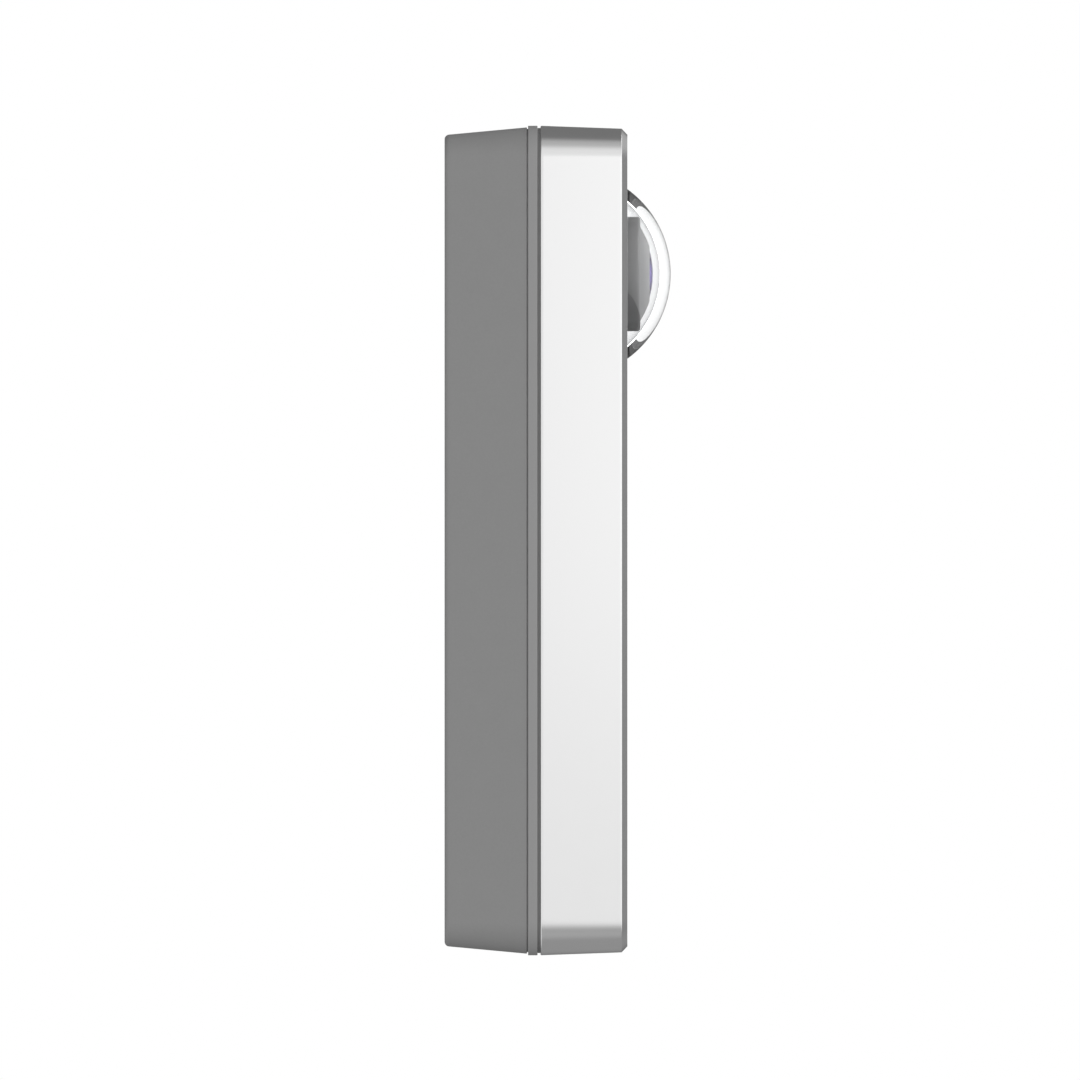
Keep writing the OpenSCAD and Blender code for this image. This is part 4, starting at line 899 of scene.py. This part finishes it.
class DOORBELL_OT_button(bpy.types.Operator):
    """Builds the call button, its ring of light and its bezel"""

    bl_idname = "doorbell.button"
    bl_label = "Call button"

    def execute(self, context):
        cap, edge, dish = (mm("front", name) for name in ("cap_radius", "cap_edge", "cap_dish"))
        ring_in = cap + 0.35
        ring_out = ring_in + mm("front", "light_width")
        bezel_in = ring_out + 0.05
        bezel_out = bezel_in + mm("front", "bezel_width")
        behind = FACE - mm("body", "face_wall")
        # The cap is dished like a piece of a ball, and a stem stands at its back
        low, high = span("call_button")
        cap_back, stem = high[2] - 2.7, 2.6
        ball = ((cap - edge) ** 2 + dish ** 2) / (2 * dish)
        reach = np.linspace(0, cap - edge, 48)
        bowl = np.stack([reach, high[2] - dish + ball - np.sqrt(ball ** 2 - reach ** 2)], 1)
        side = rounded([(cap - edge, high[2]), (cap, high[2], edge * 0.98), (cap, cap_back, 0.2),
                        (stem, cap_back, 0.2), (stem, low[2], 0.2), (0, low[2])])
        rows = turned(np.concatenate([bowl, side[1:]]), BUTTON_CENTRE)
        piece("call_button_look", [grid(rows)], "button_steel", "button")
        # The ring of light is held by a collar behind the bezel
        low, high = span("button_light_ring")
        collar, collar_thick, collar_sunk = radius_of("button_light_ring"), 1.2, 1.2
        collar_front = behind - collar_sunk
        collar_back = collar_front - collar_thick
        section = rounded([(ring_in, low[2]), (ring_out, low[2]), (ring_out, collar_back), (collar, collar_back, 0.1),
                           (collar, collar_front, 0.1), (ring_out, collar_front), (ring_out, high[2], 0.25),
                           (ring_in, high[2], 0.25)], closed=True)
        piece("button_light_ring_look", [grid(turned(section, BUTTON_CENTRE), close_rows=True)], "light_guide")
        # The bezel slopes in to the ring of light, and its lip lies behind the face
        low, high = span("button_bezel")
        lip, slope_in, slope_down = radius_of("button_bezel"), 0.55, 0.45
        section = rounded([(bezel_in, low[2]), (lip, low[2]), (lip, behind, 0.1), (bezel_out, behind),
                           (bezel_out, high[2], 0.2), (bezel_in + slope_in, high[2], 0.2),
                           (bezel_in, high[2] - slope_down, 0.15)], closed=True)
        piece("button_bezel_look", [grid(turned(section, BUTTON_CENTRE), close_rows=True)], "bezel_steel")
        return {"FINISHED"}


class DOORBELL_OT_finishes(bpy.types.Operator):
    """Gives every piece that is kept from the frame its finish"""

    bl_idname = "doorbell.finishes"
    bl_label = "Finishes of kept pieces"

    def execute(self, context):
        for node in frame["nodes"].values():
            if node.hide_render:
                continue
            slot = node.material_slots[0].material.name.split(".")[0]
            for holder in node.material_slots:
                holder.material = finish(slot)
        return {"FINISHED"}


# ---- Studio ----

# The camera takes in this width, this far in front of the wall and above the middle
VIEW_WIDTH = 0.2044
VIEW_FORWARD = 0.01806
VIEW_UP = 0.0001
CAMERA_BACK = 1.2

FLOOR_RINGS = (0, 200, 500, 1000, 2000, 3000)  # radii of the floor's rings in millimetres
FLOOR_GAP = 0.0006  # metres between the floor and the body

# Light from every side of the studio: a direction, the cosines where it starts and is full, and its strength
AMBIENT = 0.17
SIDE_LIGHT = ((-1.0, 0.0, 0.0), 0.55, 0.95, 0.64)
HORIZON = ((0.0, 0.0, 1.0), -0.58, 0.0, 1.0)
FILL_LIGHTS = [
    ((0.0, -1.0, 0.0), 0.3, 0.95, 0.04),
    ((0.0, 0.0, -1.0), 0.1, 0.9, 0.12),
    ((-0.83, 0.0, -0.56), 0.8, 1.0, 0.12),
    ((-0.66, -0.75, 0.0), 0.74, 0.96, 0.75),
    ((-0.3, -0.7, 0.65), 0.82, 0.97, 0.8),
    ((-0.59, 0.0, 0.81), 0.87, 1.0, 0.27),
    ((-0.4, 0.9, 0.0), 0.45, 0.95, 0.28),
    ((-0.2, 0.78, -0.6), 0.66, 0.95, 0.4),
    ((0.5, -0.7, 0.5), 0.75, 0.98, 0.18),
    ((0.74, -0.67, 0.0), 0.9, 0.98, 0.5),
]
# Through glass the backdrop shows where a ray still runs within these cosines of straight across
GLASS_WIDE = 0.94
GLASS_NARROW = 0.985
BACKDROP = 1.2

# Soft boxes: name, place, what they face, width, height and power
LAMPS = [
    ("side box", (-0.5, -0.19, 0.085), (0, -0.02, 0.03), 0.3, 0.24, 0.057),
    ("front box", (0.3, -1.0, 1.2), (0, 0, 0), 0.8, 0.5, 2.0),
]


class DOORBELL_OT_stage(bpy.types.Operator):
    """Sets up the pale floor, the soft light and the camera"""

    bl_idname = "doorbell.stage"
    bl_label = "Floor, light and camera"

    def execute(self, context):
        scene = context.scene
        scene.view_settings.view_transform = "Standard"
        points, quads, _ = grid(turned([(radius, 0) for radius in FLOOR_RINGS], (0, 0), 64))
        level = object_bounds()[0][2] - FLOOR_GAP
        mesh = bpy.data.meshes.new("floor")
        mesh.from_pydata((points / 1000 + [0, 0, level]).tolist(), [], quads.tolist())
        floor = bpy.data.objects.new("floor", mesh)
        scene.collection.objects.link(floor)
        material = bpy.data.materials.new("Matt painted board")
        material.use_nodes = True
        tree = material.node_tree
        where = add(tree, "ShaderNodeTexCoord").outputs["Object"]
        spec = dict(dark="#ECECEC", light="#F2F2F2", grain=2.0, depth=0.02, rough=(0.75, 0.85), relief=0.1)
        dress(tree, tree.nodes["Principled BSDF"], grained(tree, where, spec), spec)
        mesh.materials.append(material)
        # The floor is for the eye: the light that it would throw back is the studio's own light from below
        floor.visible_glossy = floor.visible_transmission = floor.visible_diffuse = False
        floor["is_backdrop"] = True
        self.world(scene)
        for name, at, aim, width, height, power in LAMPS:
            data = bpy.data.lights.new(name, "AREA")
            data.shape, data.size, data.size_y, data.energy = "RECTANGLE", width, height, power
            lamp = bpy.data.objects.new(name, data)
            lamp.location = at
            lamp.rotation_euler = (Vector(aim) - Vector(at)).to_track_quat("-Z", "Y").to_euler()
            lamp.visible_camera = False
            scene.collection.objects.link(lamp)
        data = bpy.data.cameras.new("camera")
        data.type = "ORTHO"
        data.ortho_scale = VIEW_WIDTH
        camera = bpy.data.objects.new("camera", data)
        camera.location = (-CAMERA_BACK, -VIEW_FORWARD, VIEW_UP)
        camera.rotation_euler = (math.pi / 2, 0, -math.pi / 2)
        scene.collection.objects.link(camera)
        scene.camera = camera
        return {"FINISHED"}

    def world(self, scene):
        """White where it is looked at, and straight through glass. Elsewhere the light of a studio: each side adds
        its strength by how closely a direction points to it, and the big side light ends at the horizon."""
        world = bpy.data.worlds.new("studio")
        scene.world = world
        world.use_nodes = True
        tree = world.node_tree
        where = add(tree, "ShaderNodeTexCoord").outputs["Generated"]

        def towards(direction, wide, narrow, strength):
            near = add(tree, "ShaderNodeVectorMath", {0: where, 1: direction}, operation="DOT_PRODUCT")
            return add(tree, "ShaderNodeMapRange", {"Value": near.outputs["Value"], "From Min": wide,
                                                    "From Max": narrow, "To Max": strength},
                       interpolation_type="SMOOTHSTEP").outputs["Result"]

        def join(a, b, operation):
            return add(tree, "ShaderNodeMath", {0: a, 1: b}, operation=operation).outputs[0]

        total = join(towards(*SIDE_LIGHT), towards(*HORIZON), "MULTIPLY")
        for side in FILL_LIGHTS:
            total = join(total, towards(*side), "ADD")
        total = join(total, AMBIENT, "ADD")
        path = add(tree, "ShaderNodeLightPath")
        across = add(tree, "ShaderNodeSeparateXYZ", {0: where}).outputs["X"]
        straight = add(tree, "ShaderNodeMapRange", {"Value": join(across, 0.0, "ABSOLUTE"), "From Min": GLASS_WIDE,
                                                    "From Max": GLASS_NARROW}).outputs["Result"]
        through = join(path.outputs["Is Transmission Ray"], straight, "MULTIPLY")
        glass = add(tree, "ShaderNodeMix", {0: through, 2: total, 3: BACKDROP}).outputs[0]
        strength = add(tree, "ShaderNodeMix", {0: path.outputs["Is Camera Ray"], 2: glass, 3: 1.0}).outputs[0]
        tree.links.new(strength, tree.nodes["Background"].inputs["Strength"])
        tree.nodes["Background"].inputs["Color"].default_value = (1, 1, 1, 1)


class DOORBELL_PT_panel(bpy.types.Panel):
    """Sizes, colours and pieces of the doorbell"""

    bl_label = "Video doorbell"
    bl_space_type = "VIEW_3D"
    bl_region_type = "UI"
    bl_category = "Doorbell"

    def draw(self, context):
        for group, kind in GROUPS.items():
            box = self.layout.box()
            box.label(text=group.split("_")[1].capitalize())
            for name in kind.__annotations__:
                box.prop(getattr(context.scene, group), name)
        for operator in OPERATORS:
            self.layout.operator(operator.bl_idname)


GROUPS = {
    "doorbell_body": DoorbellBody,
    "doorbell_camera": DoorbellCamera,
    "doorbell_front": DoorbellFront,
    "doorbell_colours": DoorbellColours,
}
OPERATORS = [
    DOORBELL_OT_wall_box,
    DOORBELL_OT_back_cover,
    DOORBELL_OT_gasket,
    DOORBELL_OT_front_shell,
    DOORBELL_OT_dome,
    DOORBELL_OT_lens,
    DOORBELL_OT_sensors,
    DOORBELL_OT_button,
    DOORBELL_OT_finishes,
    DOORBELL_OT_stage,
]


def register():
    for kind in [*GROUPS.values(), *OPERATORS, DOORBELL_PT_panel]:
        bpy.utils.register_class(kind)
    for name, kind in GROUPS.items():
        setattr(bpy.types.Scene, name, PointerProperty(type=kind))


def unregister():
    for name in GROUPS:
        delattr(bpy.types.Scene, name)
    for kind in [DOORBELL_PT_panel, *reversed(OPERATORS), *reversed(GROUPS.values())]:
        bpy.utils.unregister_class(kind)


def corners():
    """The shown object's box as plain lists."""
    return [list(corner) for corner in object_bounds()]


def main():
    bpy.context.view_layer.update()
    register()
    for operator in OPERATORS:
        group, name = operator.bl_idname.split(".")
        getattr(getattr(bpy.ops, group), name)()


if __name__ == "__main__":
    main()
